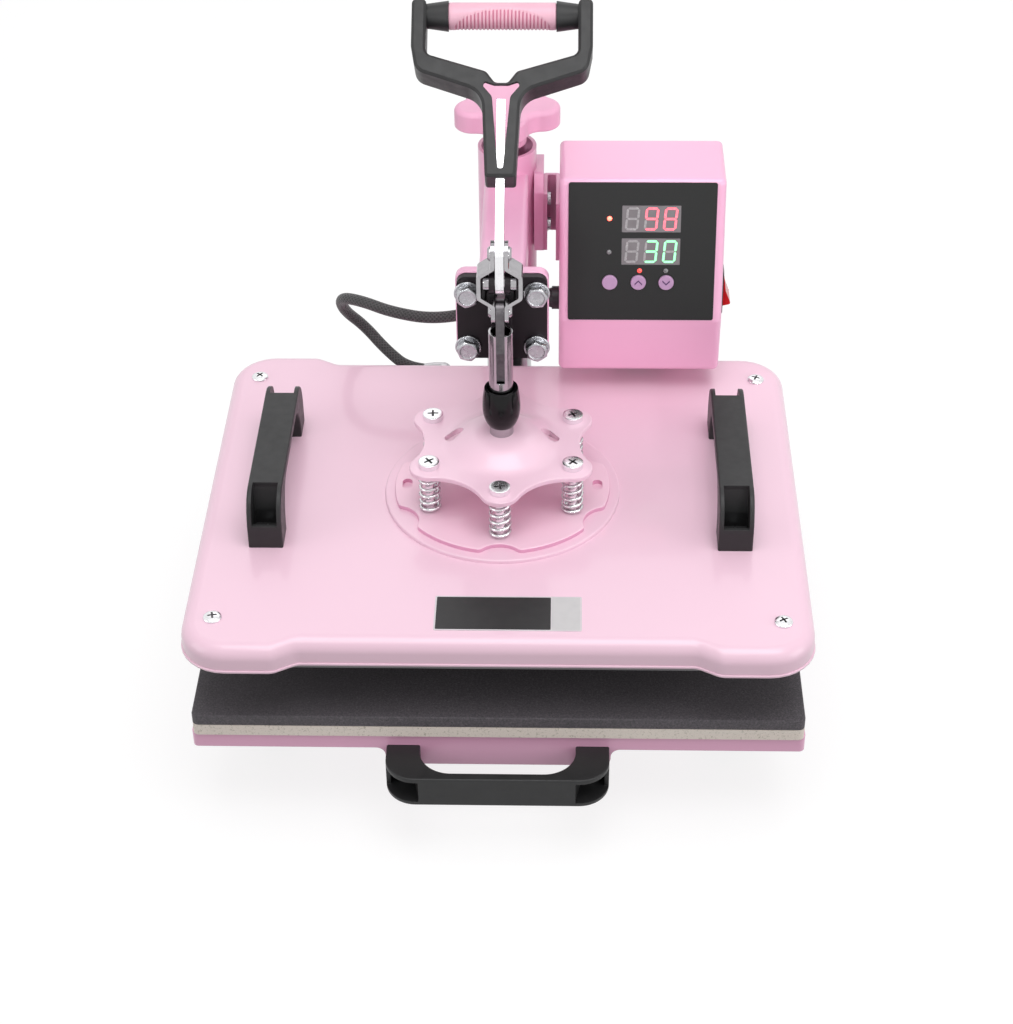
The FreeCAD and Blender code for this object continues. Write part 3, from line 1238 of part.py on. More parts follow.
def on_panel(x, v, n=0.0):
    middle, up, out = panel_frame()
    return middle + V(x, 0, 0) + up * v + out * n


def panel_slab(half_w, half_h, r, x, v, low, high):
    """Rounded rectangle on the sloping face, from low to high along its normal."""
    out = panel_frame()[2]
    corners = [(x - half_w, v - half_h, r), (x + half_w, v - half_h, r), (x + half_w, v + half_h, r),
               (x - half_w, v + half_h, r)]
    place = lambda a, b: on_panel(a, b, low)
    return Part.Face(Part.Wire(rounded_edges(corners, place))).extrude(out * (high - low))


def panel_rod(r, x, v, low, high):
    out = panel_frame()[2]
    return Part.makeCylinder(r, high - low, on_panel(x, v, low), out)


def box_form(inset, edge):
    """Five-sided housing form; inset is the wall taken off every side."""
    x0, x1 = BOX_X0 + inset, BOX_X0 + BOX_W - inset
    corners = [(BOX_LOW_Y, BOX_Z0), (BOX_NOSE_Y, BOX_NOSE_Z), (BOX_TOP_Y, BOX_TOP_Z), (BOX_BACK, BOX_TOP_Z),
               (BOX_BACK, BOX_Z0)]
    points = inward(corners, inset)
    radii = (edge, edge, edge, 0, 0)
    body = slab([(y, z, r) for (y, z), r in zip(points, radii)], "x", x0, x1)
    return body


def inward(points, distance):
    """Offset a convex clockwise outline inward by a distance."""
    count = len(points)
    lines = []
    for i in range(count):
        (a, b), (c, d) = points[i], points[(i + 1) % count]
        length = math.hypot(c - a, d - b)
        nx, ny = (d - b) / length, -(c - a) / length
        lines.append((a + nx * distance, b + ny * distance, (c - a) / length, (d - b) / length))
    result = []
    for i in range(count):
        x0, y0, dx0, dy0 = lines[i - 1]
        x1, y1, dx1, dy1 = lines[i]
        cross = dx0 * dy1 - dy0 * dx1
        t = ((x1 - x0) * dy1 - (y1 - y0) * dx1) / cross
        result.append((x0 + t * dx0, y0 + t * dy0))
    return result


def bracket_screw_heights():
    return (BRACKET_Z0 + 12.0, BRACKET_Z0 + BRACKET_H - 12.0)


def box_bracket_y():
    return (COLUMN_Y - 30.0, COLUMN_Y + 14.0)


def make_box():
    outer = box_form(0.0, BOX_EDGE)
    side_edges = [e for e in outer.Edges if on_side(e)]
    outer = outer.makeFillet(BOX_EDGE - 1.0, side_edges)
    inner = box_form(BOX_WALL, BOX_EDGE - BOX_WALL)
    room = inner.fuse(box(BOX_X0 + BOX_WALL, BOX_X0 + BOX_W - BOX_WALL, BOX_BACK - BOX_WALL - 1, BOX_BACK + 1,
                          BOX_Z0 + BOX_WALL, BOX_TOP_Z - BOX_WALL))
    body = outer.cut(room)
    for v in WINDOW_V:
        body = body.cut(panel_slab(WINDOW_W / 2, WINDOW_H / 2, 0.5, WINDOW_X, v, -BOX_WALL - 1, 1))
    for x, v in LED_SPOTS:
        body = body.cut(panel_rod(LED_R, x, v, -BOX_WALL - 1, 1))
    for x in BUTTON_X:
        body = body.cut(panel_rod(BUTTON_R + 0.5, x, BUTTON_V, -BOX_WALL - 1, 1))
    right = BOX_X0 + BOX_W
    body = body.cut(plate(SWITCH_W / 2, SWITCH_H / 2, 1.0, "x", right - BOX_WALL - 1, right + 1, (SWITCH_Y, SWITCH_Z)))
    body = body.cut(plate(INLET_W / 2, INLET_D / 2, 1.0, "z", BOX_Z0 - 1, BOX_Z0 + BOX_WALL + 1, (INLET_X, INLET_Y)))
    start = CABLE_ROUTE[0]
    body = body.cut(rod((GLAND_R - 2), (BOX_X0 - 1, start[1], start[2]), (1, 0, 0), BOX_WALL + 2))
    side_y = (box_bracket_y()[0] + BOX_BACK) / 2
    for z in bracket_screw_heights():
        body = body.cut(rod_x(THREAD_R, side_y, z, BOX_X0 - 1, BOX_X0 + BOX_WALL + 1))
    keep("box_housing", body)

    back = box(BOX_X0 + BOX_WALL + 0.2, BOX_X0 + BOX_W - BOX_WALL - 0.2, BOX_BACK - BOX_WALL, BOX_BACK,
               BOX_Z0 + BOX_WALL + 0.2, BOX_TOP_Z - BOX_WALL - 0.2)
    vents = []
    vent_l, vent_h, vent_pitch = 50.0, 3.0, 9.0
    for i in range(5):
        z = BOX_NOSE_Z + 30 + i * vent_pitch
        vents.append(plate(vent_l / 2, vent_h / 2, vent_h / 2 - 0.01, "y", BOX_BACK - BOX_WALL - 1, BOX_BACK + 1,
                           (BOX_X0 + BOX_W / 2, z)))
    keep("box_back_plate", back.cut(Part.makeCompound(vents)))

    panel = panel_slab(PANEL_W / 2, PANEL_H / 2, 1.5, 0, 0, 0, PANEL_T)
    for v in WINDOW_V:
        panel = panel.cut(panel_slab(WINDOW_W / 2, WINDOW_H / 2, 0.5, WINDOW_X, v, -1, PANEL_T + 1))
    for x, v in LED_SPOTS:
        panel = panel.cut(panel_rod(LED_R, x, v, -1, PANEL_T + 1))
    for x in BUTTON_X:
        panel = panel.cut(panel_rod(BUTTON_R + 0.15, x, BUTTON_V, -1, PANEL_T + 1))
    keep("control_panel", panel)

    windows = [panel_slab(WINDOW_W / 2, WINDOW_H / 2, 0.5, WINDOW_X, v, -BOARD_BACK, PANEL_T - 0.2) for v in WINDOW_V]
    keep("display_modules", windows)
    leds = []
    for x, v in LED_SPOTS:
        leds.append(panel_rod(LED_R, x, v, -BOARD_BACK, PANEL_T + 0.3))
    keep("indicator_leds", leds)
    board = panel_slab(PANEL_W / 2 - 14, PANEL_H / 2 - 10, 1.0, -8, 0, -BOARD_BACK - CIRCUIT_T, -BOARD_BACK)
    relay = panel_slab(9.0, 12.0, 0.5, -28, -8, -BOARD_BACK - CIRCUIT_T - 16, -BOARD_BACK - CIRCUIT_T)
    keep("circuit_board", [board, relay])

    stem_r = 2.0
    for name, x in zip(("set_button", "up_button", "down_button"), BUTTON_X):
        cap = panel_rod(BUTTON_R, x, BUTTON_V, -3.0, PANEL_T + BUTTON_PROUD)
        foot = on_panel(x, BUTTON_V, -3.0)
        rim = max((e for e in cap.Edges if e.isClosed()), key=lambda e: (e.BoundBox.Center - foot).Length)
        cap = cap.makeFillet(0.5, [rim])
        collar = panel_rod(BUTTON_R + 1.2, x, BUTTON_V, -BOX_WALL - 2.4, -BOX_WALL - 0.2)
        stem = panel_rod(stem_r, x, BUTTON_V, -BOARD_BACK + BUTTON_TRAVEL + 0.3, -3.0)
        keep(name, fuse(cap, collar, stem))

    make_switch(right)
    make_inlet()
    make_box_bracket(side_y)

    gland = fuse(
        rod((GLAND_R - 2), (BOX_X0 + BOX_WALL + 3, start[1], start[2]), (-1, 0, 0), BOX_WALL + 3),
        rod(GLAND_R + 1, (BOX_X0, start[1], start[2]), (-1, 0, 0), 5),
        Part.makeCone(GLAND_TIP_R, GLAND_R, 5, V(BOX_X0 - 10, start[1], start[2]), V(1, 0, 0)),
        rod(GLAND_R + 1, (BOX_X0 + BOX_WALL, start[1], start[2]), (1, 0, 0), 3),
    ).cut(rod(CABLE_R, (BOX_X0 - 20, start[1], start[2]), (1, 0, 0), 40))
    keep("box_cable_gland", gland)


def on_side(edge):
    """Edges round the control box's two side faces, apart from the open back."""
    bb = edge.BoundBox
    flat = bb.XLength < 1e-6 and (abs(bb.XMin - BOX_X0) < 1e-6 or abs(bb.XMin - BOX_X0 - BOX_W) < 1e-6)
    return flat and not (abs(bb.YMin - BOX_BACK) < 1e-6 and abs(bb.YMax - BOX_BACK) < 1e-6)


def make_switch(right):
    rim = plate(SWITCH_W / 2 + 1.5, SWITCH_H / 2 + 1.5, 2.0, "x", right, right + SWITCH_RIM, (SWITCH_Y, SWITCH_Z))
    depth = 16.0
    can = plate(SWITCH_W / 2, SWITCH_H / 2, 1.0, "x", right - depth, right, (SWITCH_Y, SWITCH_Z))
    half_w = SWITCH_W / 2 - 1.5
    half_h = SWITCH_H / 2 - 1.5
    hollow = plate(half_w, half_h, 0.5, "x", right - depth + 2, right + 3, (SWITCH_Y, SWITCH_Z))
    pin_r = 1.5
    pivot_x = right - 2.0
    frame = fuse(rim, can).cut(hollow)
    frame = frame.cut(rod(pin_r + RUN_GAP, (pivot_x, SWITCH_Y - half_w - 1.0, SWITCH_Z), (0, 1, 0), 2 * half_w + 2.0))
    keep("switch_frame", frame)
    reach = half_h - ROCKER_GAP
    tall, short, ridge = 9.5, 4.0, 5.6
    low_x = pivot_x - 4.0
    outer = [
        (low_x, SWITCH_Z - reach + 2.2, 1.0), (pivot_x + 1, SWITCH_Z - reach + 0.6, 2.0),
        (pivot_x + tall, SWITCH_Z - reach + 2.6, 1.5), (pivot_x + ridge, SWITCH_Z, 4.0),
        (pivot_x + short, SWITCH_Z + reach - 0.8, 1.2), (low_x, SWITCH_Z + reach - 1.4, 1.0),
    ]
    rocker = slab(outer, "y", SWITCH_Y - half_w + ROCKER_GAP, SWITCH_Y + half_w - ROCKER_GAP)
    axle = rod(pin_r, (pivot_x, SWITCH_Y - half_w - 0.8, SWITCH_Z), (0, 1, 0), 2 * half_w + 1.6)
    keep("rocker_switch", fuse(rocker, axle))


def make_inlet():
    """Appliance inlet in the control box's underside."""
    flange = plate(INLET_W / 2 + 2, INLET_D / 2 + 2, 3.0, "z", BOX_Z0 - 1.8, BOX_Z0, (INLET_X, INLET_Y))
    can = plate(INLET_W / 2, INLET_D / 2, 1.0, "z", BOX_Z0, BOX_Z0 + 20, (INLET_X, INLET_Y))
    well = plate(INLET_W / 2 - 1.6, INLET_D / 2 - 2.4, 3.0, "z", BOX_Z0 - 3, BOX_Z0 + 15, (INLET_X, INLET_Y))
    body = fuse(flange, can).cut(well)
    pins = []
    for x, y in ((-7.0, 1.5), (7.0, 1.5), (0.0, -2.5)):
        pins.append(box(INLET_X + x - 1, INLET_X + x + 1, INLET_Y + y - 2, INLET_Y + y + 2, BOX_Z0 + 3, BOX_Z0 + 15))
    keep("power_inlet", fuse(body, *pins))


def make_box_bracket(side_y):
    """Folded bracket between the sleeve's lug and the control box."""
    y0, y1 = box_bracket_y()
    x0 = SLEEVE_R + LUG_T
    x1 = BOX_X0
    t = 2.5
    z0, z1 = BRACKET_Z0, BRACKET_Z0 + BRACKET_H
    outline = slab([
        (x0, COLUMN_Y - 16, 0), (x0 + t, COLUMN_Y - 16, 0), (x0 + t, y1 - t, 2.0), (x1 - t, y1 - t, 0),
        (x1 - t, y0, 0), (x1, y0, 0), (x1, y1, 2.0), (x0, y1, 2.0),
    ], "z", z0, z1)
    for z in bracket_screw_heights():
        outline = outline.cut(rod_x(THREAD_R, COLUMN_Y, z, x0 - 1, x0 + t + 1))
        outline = outline.cut(rod_x(THREAD_R, side_y, z, x1 - t - 1, x1 + 1))
    keep("box_bracket", outline)
    screws = []
    head_r, head_t = 4.4, 2.4
    for z in bracket_screw_heights():
        screws.append(fuse(rod_x(THREAD_R, COLUMN_Y, z, SLEEVE_R - 1.0, x0 + t),
                           rod_x(head_r, COLUMN_Y, z, x0 + t, x0 + t + head_t)))
        screws.append(fuse(rod_x(THREAD_R, side_y, z, x1 - t, x1 + BOX_WALL),
                           rod_x(head_r, side_y, z, x1 + BOX_WALL, x1 + BOX_WALL + head_t)))
    keep("bracket_screws", screws)


# Heater cable


def cable_path(points):
    """Straight runs joined by tangent arcs, each as large as its two runs allow."""
    pts = [V(*p) for p in points]
    edges = []
    last = pts[0]
    radii = []
    for i in range(1, len(pts) - 1):
        back = pts[i - 1] - pts[i]
        ahead = pts[i + 1] - pts[i]
        shorter = min(back.Length, ahead.Length)
        turn = math.pi - back.getAngle(ahead)
        reach = 0.45 * shorter
        radius = reach / math.tan(turn / 2)
        radii.append(round(radius, 1))
        a = pts[i] + V(back).normalize() * reach
        b = pts[i] + V(ahead).normalize() * reach
        middle = (V(back).normalize() + V(ahead).normalize()).normalize()
        depth = radius / math.cos(turn / 2) - radius
        edges.append(Part.LineSegment(last, a).toShape())
        edges.append(Part.Arc(a, pts[i] + middle * depth, b).toShape())
        last = b
    edges.append(Part.LineSegment(last, pts[-1]).toShape())
    print("cable radii", radii)
    return Part.Wire(edges)


def make_cable():
    path = cable_path(CABLE_ROUTE)
    first = V(*CABLE_ROUTE[0])
    way = V(*CABLE_ROUTE[1]) - first
    profile = Part.Wire([Part.Circle(first, way, CABLE_R).toShape()])
    tube = path.makePipeShell([profile], True, False)
    print("cable length %.1f, volume ratio %.4f" % (path.Length, tube.Volume / (math.pi * CABLE_R ** 2 * path.Length)))
    keep("heater_cable", tube)

    wall_y = COVER_D / 2 - COVER_STEP
    end_x, y, z = CABLE_ROUTE[-1]
    x = PLATEN_GLAND_X
    elbow = fuse(
        rod(GLAND_R - 2, (x, wall_y - COVER_WALL - 1, z), (0, 1, 0), 4),
        rod(GLAND_R, (x, wall_y, z), (0, 1, 0), y - wall_y),
        Part.makeSphere(GLAND_R, V(x, y, z)),
        rod(GLAND_R, (x, y, z), (-1, 0, 0), 8),
        Part.makeCone(GLAND_R, GLAND_TIP_R, 12, V(x - 8, y, z), V(-1, 0, 0)),
    )
    keep("platen_cable_gland", elbow.cut(rod(CABLE_R, (end_x, y, z), (-1, 0, 0), 40)))


def main():
    make_base()
    make_post()
    make_rails()
    make_lower_platen()
    make_handles()
    make_cover()
    make_heater()
    make_spring_stack()
    make_plunger()
    make_links()
    make_lever()
    make_clamp()
    make_arm()
    make_knob()
    make_box()
    make_cable()
    os.makedirs("parts", exist_ok=True)
    for name, solids in PARTS.items():
        shape = solids[0] if len(solids) == 1 else Part.makeCompound(solids)
        shape.translate(V(0, SHIFT_Y, 0))
        shape.exportStep("parts/%s.step" % name)
    print(len(PARTS), "nodes")


main()
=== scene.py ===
import json
import math

import bpy
from mathutils import Matrix, Vector


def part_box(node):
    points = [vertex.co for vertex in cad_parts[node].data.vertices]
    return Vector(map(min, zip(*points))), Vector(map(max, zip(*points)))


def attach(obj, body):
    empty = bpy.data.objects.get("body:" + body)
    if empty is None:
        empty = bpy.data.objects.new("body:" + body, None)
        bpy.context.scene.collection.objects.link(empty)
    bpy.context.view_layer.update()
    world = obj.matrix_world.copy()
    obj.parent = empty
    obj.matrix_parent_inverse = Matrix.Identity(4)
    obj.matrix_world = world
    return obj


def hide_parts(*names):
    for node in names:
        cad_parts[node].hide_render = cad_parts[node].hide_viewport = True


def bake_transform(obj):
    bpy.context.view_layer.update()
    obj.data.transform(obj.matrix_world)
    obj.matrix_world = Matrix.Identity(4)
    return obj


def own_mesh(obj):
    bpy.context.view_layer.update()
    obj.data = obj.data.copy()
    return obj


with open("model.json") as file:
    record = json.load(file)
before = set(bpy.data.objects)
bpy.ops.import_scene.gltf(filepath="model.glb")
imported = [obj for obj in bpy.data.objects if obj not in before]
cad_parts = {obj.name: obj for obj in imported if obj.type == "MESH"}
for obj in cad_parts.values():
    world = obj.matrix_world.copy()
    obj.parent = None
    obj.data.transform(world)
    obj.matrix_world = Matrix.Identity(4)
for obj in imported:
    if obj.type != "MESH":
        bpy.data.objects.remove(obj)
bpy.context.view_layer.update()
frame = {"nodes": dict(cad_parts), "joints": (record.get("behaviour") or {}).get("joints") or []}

MM = 0.001
EVEN = (1.0, 1.0, 1.0)

# Camera: where the photographer stood, and a lens whose long side is the picture's height
CAMERA_AT = (0.0383, -1.1913, 1.0265)
CAMERA_RIGHT = (0.99968, 0.02362, -0.00924)
CAMERA_DOWN = (0.00701, -0.60739, -0.79437)
FOCAL_PIXELS = 2230.0
PICTURE_LONG_SIDE = 1024.0
SENSOR = 36.0


# Places taken from the frame


def joint(name):
    return next(j for j in frame["joints"] if j["name"] == name)


def low(node):
    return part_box(node)[0]


def high(node):
    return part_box(node)[1]


def middle(node):
    return (low(node) + high(node)) / 2


AXIS = Vector((0.0, joint("lever_pull")["pos_m"][1], 0.0))
COVER_TOP = low("platen_handles").z
DISC_TOP = low("spring_base_plate").z
LOWER_TOP = high("spring_base_plate").z
STAR_Z = low("spring_plate").z
STAR_T = 3.0 * MM
PANEL_OUT = -Vector(joint("set_press")["axis"])
PANEL_UP = PANEL_OUT.cross(Vector((1.0, 0.0, 0.0)))
PANEL_MID = Vector((91.0, 97.5, 260.0)) * MM


# Meshes


class Form:
    """Vertices and faces of one piece, with a material number for each face."""

    def __init__(self):
        self.verts = []
        self.faces = []
        self.numbers = []

    def add(self, verts, faces, number=0, place=None):
        start = len(self.verts)
        for point in verts:
            self.verts.append(place @ Vector(point) if place else Vector(point))
        for face in faces:
            self.faces.append([start + i for i in face])
            self.numbers.append(number)

    def loft(self, loops, place=None, number=0, ends=True):
        """Skin over loops of equally many points, with end faces on the first and the last."""
        count = len(loops[0])
        rings = [list(range(i * count, (i + 1) * count)) for i in range(len(loops))]
        faces = ring_faces(rings)
        if ends:
            faces += [rings[0][::-1], rings[-1]]
        self.add([point for loop in loops for point in loop], faces, number, place)

    def lathe(self, profile, place=None, sides=48, number=0):
        """Turn (radius, height) points about z. A radius of zero closes the end in one point."""
        verts = []
        rings = []
        for radius, height in profile:
            if radius < 1e-9:
                rings.append([len(verts)] * sides)
                verts.append((0.0, 0.0, height))
                continue
            rings.append(list(range(len(verts), len(verts) + sides)))
            verts.extend((*polar(radius, 360 * i / sides), height) for i in range(sides))
        self.add(verts, ring_faces(rings), number, place)

    def prism(self, outline, bottom, top, place=None, number=0, shrink=1.0):
        """Outline of (x, y) points pulled from bottom to top, with the bottom scaled by shrink."""
        foot = [(x * shrink, y * shrink, bottom) for x, y in outline]
        self.loft([foot, [(x, y, top) for x, y in outline]], place, number)

    def build(self, name, materials, smooth_angle=35.0):
        mesh = bpy.data.meshes.new(name)
        mesh.from_pydata([tuple(v) for v in self.verts], [], self.faces)
        mesh.polygons.foreach_set("material_index", self.numbers)
        mesh.polygons.foreach_set("use_smooth", [True] * len(self.faces))
        mesh.set_sharp_from_angle(angle=math.radians(smooth_angle))
        for material in materials:
            mesh.materials.append(material)
        mesh.update()
        return linked(name, mesh)


def linked(name, data):
    """New object of the scene that shows a mesh, lamp or camera."""
    made = bpy.data.objects.new(name, data)
    bpy.context.scene.collection.objects.link(made)
    return made


def polar(radius, degrees):
    angle = math.radians(degrees)
    return radius * math.cos(angle), radius * math.sin(angle)


def ring_faces(rings):
    """Quads between neighbouring rings; a ring of one repeated point gives triangles."""
    faces = []
    for a, b in zip(rings, rings[1:]):
        count = len(a)
        for i in range(count):
            k = (i + 1) % count
            face = [a[i], a[k], b[k], b[i]]
            faces.append([v for j, v in enumerate(face) if v not in face[:j]])
    return [f for f in faces if len(f) > 2]


def tube_loops(points, radius, sides):
    """Circles about a line, turned as little as possible from one to the next."""
    loops = []
    side = None
    for i, point in enumerate(points):
        ahead = (points[min(i + 1, len(points) - 1)] - points[max(i - 1, 0)]).normalized()
        if side is None:
            side = ahead.orthogonal().normalized()
        side = (side - ahead * side.dot(ahead)).normalized()
        up = ahead.cross(side)
        circle = [polar(radius, 360 * k / sides) for k in range(sides)]
        loops.append([point + side * x + up * y for x, y in circle])
    return loops


def arc(centre, radius, start, end, steps):
    """Points of an arc in a flat outline, angles in degrees."""
    spots = [polar(radius, start + (end - start) * i / steps) for i in range(steps + 1)]
    return [(centre[0] + x, centre[1] + y) for x, y in spots]


def rounded_rectangle(half_w, half_h, radius, steps=6):
    w, h = half_w - radius, half_h - radius
    points = []
    for corner, start in (((w, h), 0), ((-w, h), 90), ((-w, -h), 180), ((w, -h), 270)):
        points += arc(corner, radius, start, start + 90, steps)
    return points


def rounded_outline(corners, steps=6):
    """Closed outline through (x, y, radius) corners, as (x, y) points; steps + 1 points to a corner."""
    points = []
    for i, (x, y, radius) in enumerate(corners):
        corner = Vector((x, y))
        back = (Vector(corners[i - 1][:2]) - corner).normalized()
        ahead = (Vector(corners[(i + 1) % len(corners)][:2]) - corner).normalized()
        half = back.angle(ahead) / 2
        centre = corner + (back + ahead).normalized() * radius / math.sin(half)
        start = corner + back * radius / math.tan(half) - centre
        sweep = math.copysign(math.pi - 2 * half, -back.cross(ahead))
        for k in range(steps + 1):
            angle = sweep * k / steps
            turned = Vector((start.x * math.cos(angle) - start.y * math.sin(angle),
                             start.x * math.sin(angle) + start.y * math.cos(angle)))
            points.append(tuple(centre + turned))
    return points


def standing(point, way):
    """Matrix that puts the z axis along way at a point."""
    return Matrix.Translation(point) @ Vector(way).to_track_quat("Z", "Y").to_matrix().to_4x4()


def carved(piece, cutter):
    """Vertices and faces of a piece after the cutter is taken out of it. Both objects go."""
    change = piece.modifiers.new("cut", "BOOLEAN")
    change.operation = "DIFFERENCE"
    change.solver = "EXACT"
    change.object = cutter
    bpy.context.view_layer.update()
    result = piece.evaluated_get(bpy.context.evaluated_depsgraph_get()).to_mesh()
    verts = [v.co.copy() for v in result.vertices]
    faces = [list(p.vertices) for p in result.polygons]
    for used in (piece, cutter):
        bpy.data.objects.remove(used)
    return verts, faces


# Materials


def srgb(red, green, blue):
    """Linear colour from a screen colour of 0 to 255."""
    parts = [c / 255 for c in (red, green, blue)]
    return tuple(c / 12.92 if c <= 0.04045 else ((c + 0.055) / 1.055) ** 2.4 for c in parts) + (1.0,)


def add_node(tree, kind, **inputs):
    """New shader node, with each input set to a value or linked to another node's output."""
    made = tree.nodes.new(kind)
    for name, value in inputs.items():
        socket = made.inputs[name.replace("_", " ")]
        if isinstance(value, bpy.types.NodeSocket):
            tree.links.new(value, socket)
        else:
            socket.default_value = value
    return made


class Finish:
    """A procedural material: fixed values on the shader, and patterns in object coordinates."""

    def __init__(self, name, colour, rough, metal=0.0, coat=0.0, coat_rough=0.05, ior=1.5, sheen=0.0):
        self.material = bpy.data.materials.new(name)
        self.material.use_nodes = True
        self.tree = self.material.node_tree
        self.shader = self.tree.nodes["Principled BSDF"]
        values = {"Base Color": srgb(*colour), "Roughness": rough, "Metallic": metal, "Coat Weight": coat,
                  "Coat Roughness": coat_rough, "IOR": ior, "Sheen Weight": sheen}
        for socket, value in values.items():
            self.shader.inputs[socket].default_value = value
        self.normal = None
        self.place = self.node("ShaderNodeTexCoord").outputs["Object"]

    def node(self, kind, **inputs):
        return add_node(self.tree, kind, **inputs)

    def coordinates(self, stretch):
        return self.node("ShaderNodeMapping", Vector=self.place, Scale=stretch).outputs["Vector"]

    def noise(self, size, detail=3.0, stretch=EVEN, rough=0.55):
        """Cloudy pattern whose features are about size millimetres wide."""
        made = self.node("ShaderNodeTexNoise", Vector=self.coordinates(stretch), Scale=1.0 / (size * MM),
                         Detail=detail, Roughness=rough)
        return made.outputs["Fac"]

    def cells(self, size):
        """Distance from the nearest of scattered points, about size millimetres apart."""
        made = self.node("ShaderNodeTexVoronoi", Vector=self.coordinates(EVEN), Scale=1.0 / (size * MM))
        return made.outputs["Distance"]

    def spread(self, source, low_in, high_in, low_out=0.0, high_out=1.0):
        limits = {"From_Min": low_in, "From_Max": high_in, "To_Min": low_out, "To_Max": high_out}
        return self.node("ShaderNodeMapRange", Value=source, **limits).outputs["Result"]

    def tint(self, factor, colour):
        """Mix a second colour into the base colour where factor is high."""
        mix = self.node("ShaderNodeMix", Factor=factor)
        mix.data_type = "RGBA"
        base = self.shader.inputs["Base Color"]
        if base.is_linked:
            self.tree.links.new(base.links[0].from_socket, mix.inputs["A"])
        else:
            mix.inputs["A"].default_value = base.default_value
        mix.inputs["B"].default_value = srgb(*colour)
        self.tree.links.new(mix.outputs["Result"], base)
        return self

    def cloud(self, size, detail, start, full, share, colour, stretch=EVEN, rough=0.55):
        """Tint with a share of a second colour where the noise goes from start to full."""
        pattern = self.noise(size, detail, stretch, rough)
        return self.tint(self.spread(pattern, start, full, 0.0, share), colour)

    def roughen(self, size, detail, low_rough, high_rough, stretch=EVEN):
        worn = self.spread(self.noise(size, detail, stretch), 0.3, 0.7, low_rough, high_rough)
        self.tree.links.new(worn, self.shader.inputs["Roughness"])
        return self

    def bump(self, height, depth):
        """Raise the surface by depth millimetres where height is 1."""
        made = self.node("ShaderNodeBump", Height=height, Distance=depth * MM, Strength=1.0)
        if self.normal:
            self.tree.links.new(self.normal, made.inputs["Normal"])
        return self.use_normal(made)

    def grain(self, size, detail, depth, stretch=EVEN, rough=0.55):
        return self.bump(self.noise(size, detail, stretch, rough), depth)

    def glow(self, colour, strength):
        self.shader.inputs["Emission Color"].default_value = srgb(*colour)
        self.shader.inputs["Emission Strength"].default_value = strength
        return self

    def soft_edges(self, radius):
        """Catch light on edges as if they were rounded; called before any bump."""
        made = self.node("ShaderNodeBevel", Radius=radius * MM)
        made.samples = 6
        return self.use_normal(made)

    def use_normal(self, made):
        self.normal = made.outputs["Normal"]
        for socket in ("Normal", "Coat Normal"):
            self.tree.links.new(self.normal, self.shader.inputs[socket])
        return self


def pink_paint(name, colour, light, dark, edge=0.5, coat=0.35, coat_rough=0.10):
    """Powder coat with a faint orange peel and a clear top."""
    paint = Finish(name, colour, rough=0.36, coat=coat, coat_rough=coat_rough).soft_edges(edge)
    paint.cloud(120, 4, 0.35, 0.75, 0.22, light).cloud(0.9, 2, 0.62, 0.80, 0.10, dark)
    return paint.roughen(30, 3, 0.32, 0.40).grain(1.8, 2, 0.022).material


def black_plastic():
    """Moulded nylon with a fine spark-eroded grain."""
    plastic = Finish("black_plastic", (38, 38, 39), rough=0.46, ior=1.42).soft_edges(0.6)
    plastic.cloud(30, 4, 0.4, 0.7, 0.5, (46, 46, 47)).roughen(6, 3, 0.38, 0.5)
    return plastic.grain(0.55, 2, 0.05, rough=0.7).bump(plastic.cells(0.35), 0.02).material


def finish(name, colour, rough, edge, cloud, grain, worn=None, **more):
    """Plain finish; cloud, grain and worn are what the methods cloud, grain and roughen of Finish take."""
    made = Finish(name, colour, rough, **more)
    if edge:
        made.soft_edges(edge)
    made.cloud(*cloud).grain(*grain)
    if worn:
        made.roughen(*worn)
    return made.material


def zinc_steel():
    """Zinc-plated steel with a faint cloudy spangle and small pits."""
    zinc = Finish("zinc_steel", (196, 197, 200), rough=0.28, metal=1.0).soft_edges(0.3)
    zinc.tint(zinc.spread(zinc.cells(3.5), 0.1, 0.6, 0.0, 0.5), (168, 169, 174))
    zinc.cloud(0.8, 3, 0.62, 0.75, 0.6, (128, 126, 126))
    return zinc.roughen(2, 4, 0.2, 0.42).grain(0.4, 4, 0.02).material


def silicone():
    """Dark sponge silicone with a fine cloth-like grain moulded in."""
    rubber = Finish("silicone", (72, 67, 72), rough=0.68, sheen=0.12)
    rubber.cloud(1.3, 2, 0.45, 0.7, 0.9, (100, 94, 100), rough=0.7)
    rubber.cloud(1.1, 2, 0.52, 0.7, 0.8, (48, 45, 48), (1.3, 1.0, 1.0))
    rubber.cloud(90, 4, 0.4, 0.75, 0.4, (62, 58, 62))
    return rubber.grain(1.1, 3, 0.16, rough=0.7).bump(rubber.cells(0.9), 0.04).material


def fibre_board():
    """Pressed mineral board with grey and tan specks."""
    board = Finish("fibre_board", (244, 232, 222), rough=0.85)
    board.cloud(1.6, 4, 0.55, 0.72, 0.9, (176, 166, 148), rough=0.7)
    board.cloud(0.7, 3, 0.62, 0.74, 0.8, (120, 112, 100), rough=0.7)
    board.cloud(20, 3, 0.45, 0.7, 0.35, (240, 236, 226), (0.2, 0.2, 3.0))
    return board.grain(0.6, 5, 0.12, rough=0.7).material


def lit_plastic(name, colour, strength, glow):
    lit = Finish(name, colour, rough=0.25, coat=0.3).glow(glow, strength)
    return lit.cloud(1, 2, 0.5, 0.8, 0.3, (255, 255, 255)).material


def pink_plastic(name, colour, second, edge):
    return finish(name, colour, 0.42, edge, (20, 3, 0.4, 0.7, 0.3, second), (0.5, 2, 0.012),
                  (4, 3, 0.38, 0.48), coat=0.1, coat_rough=0.2)


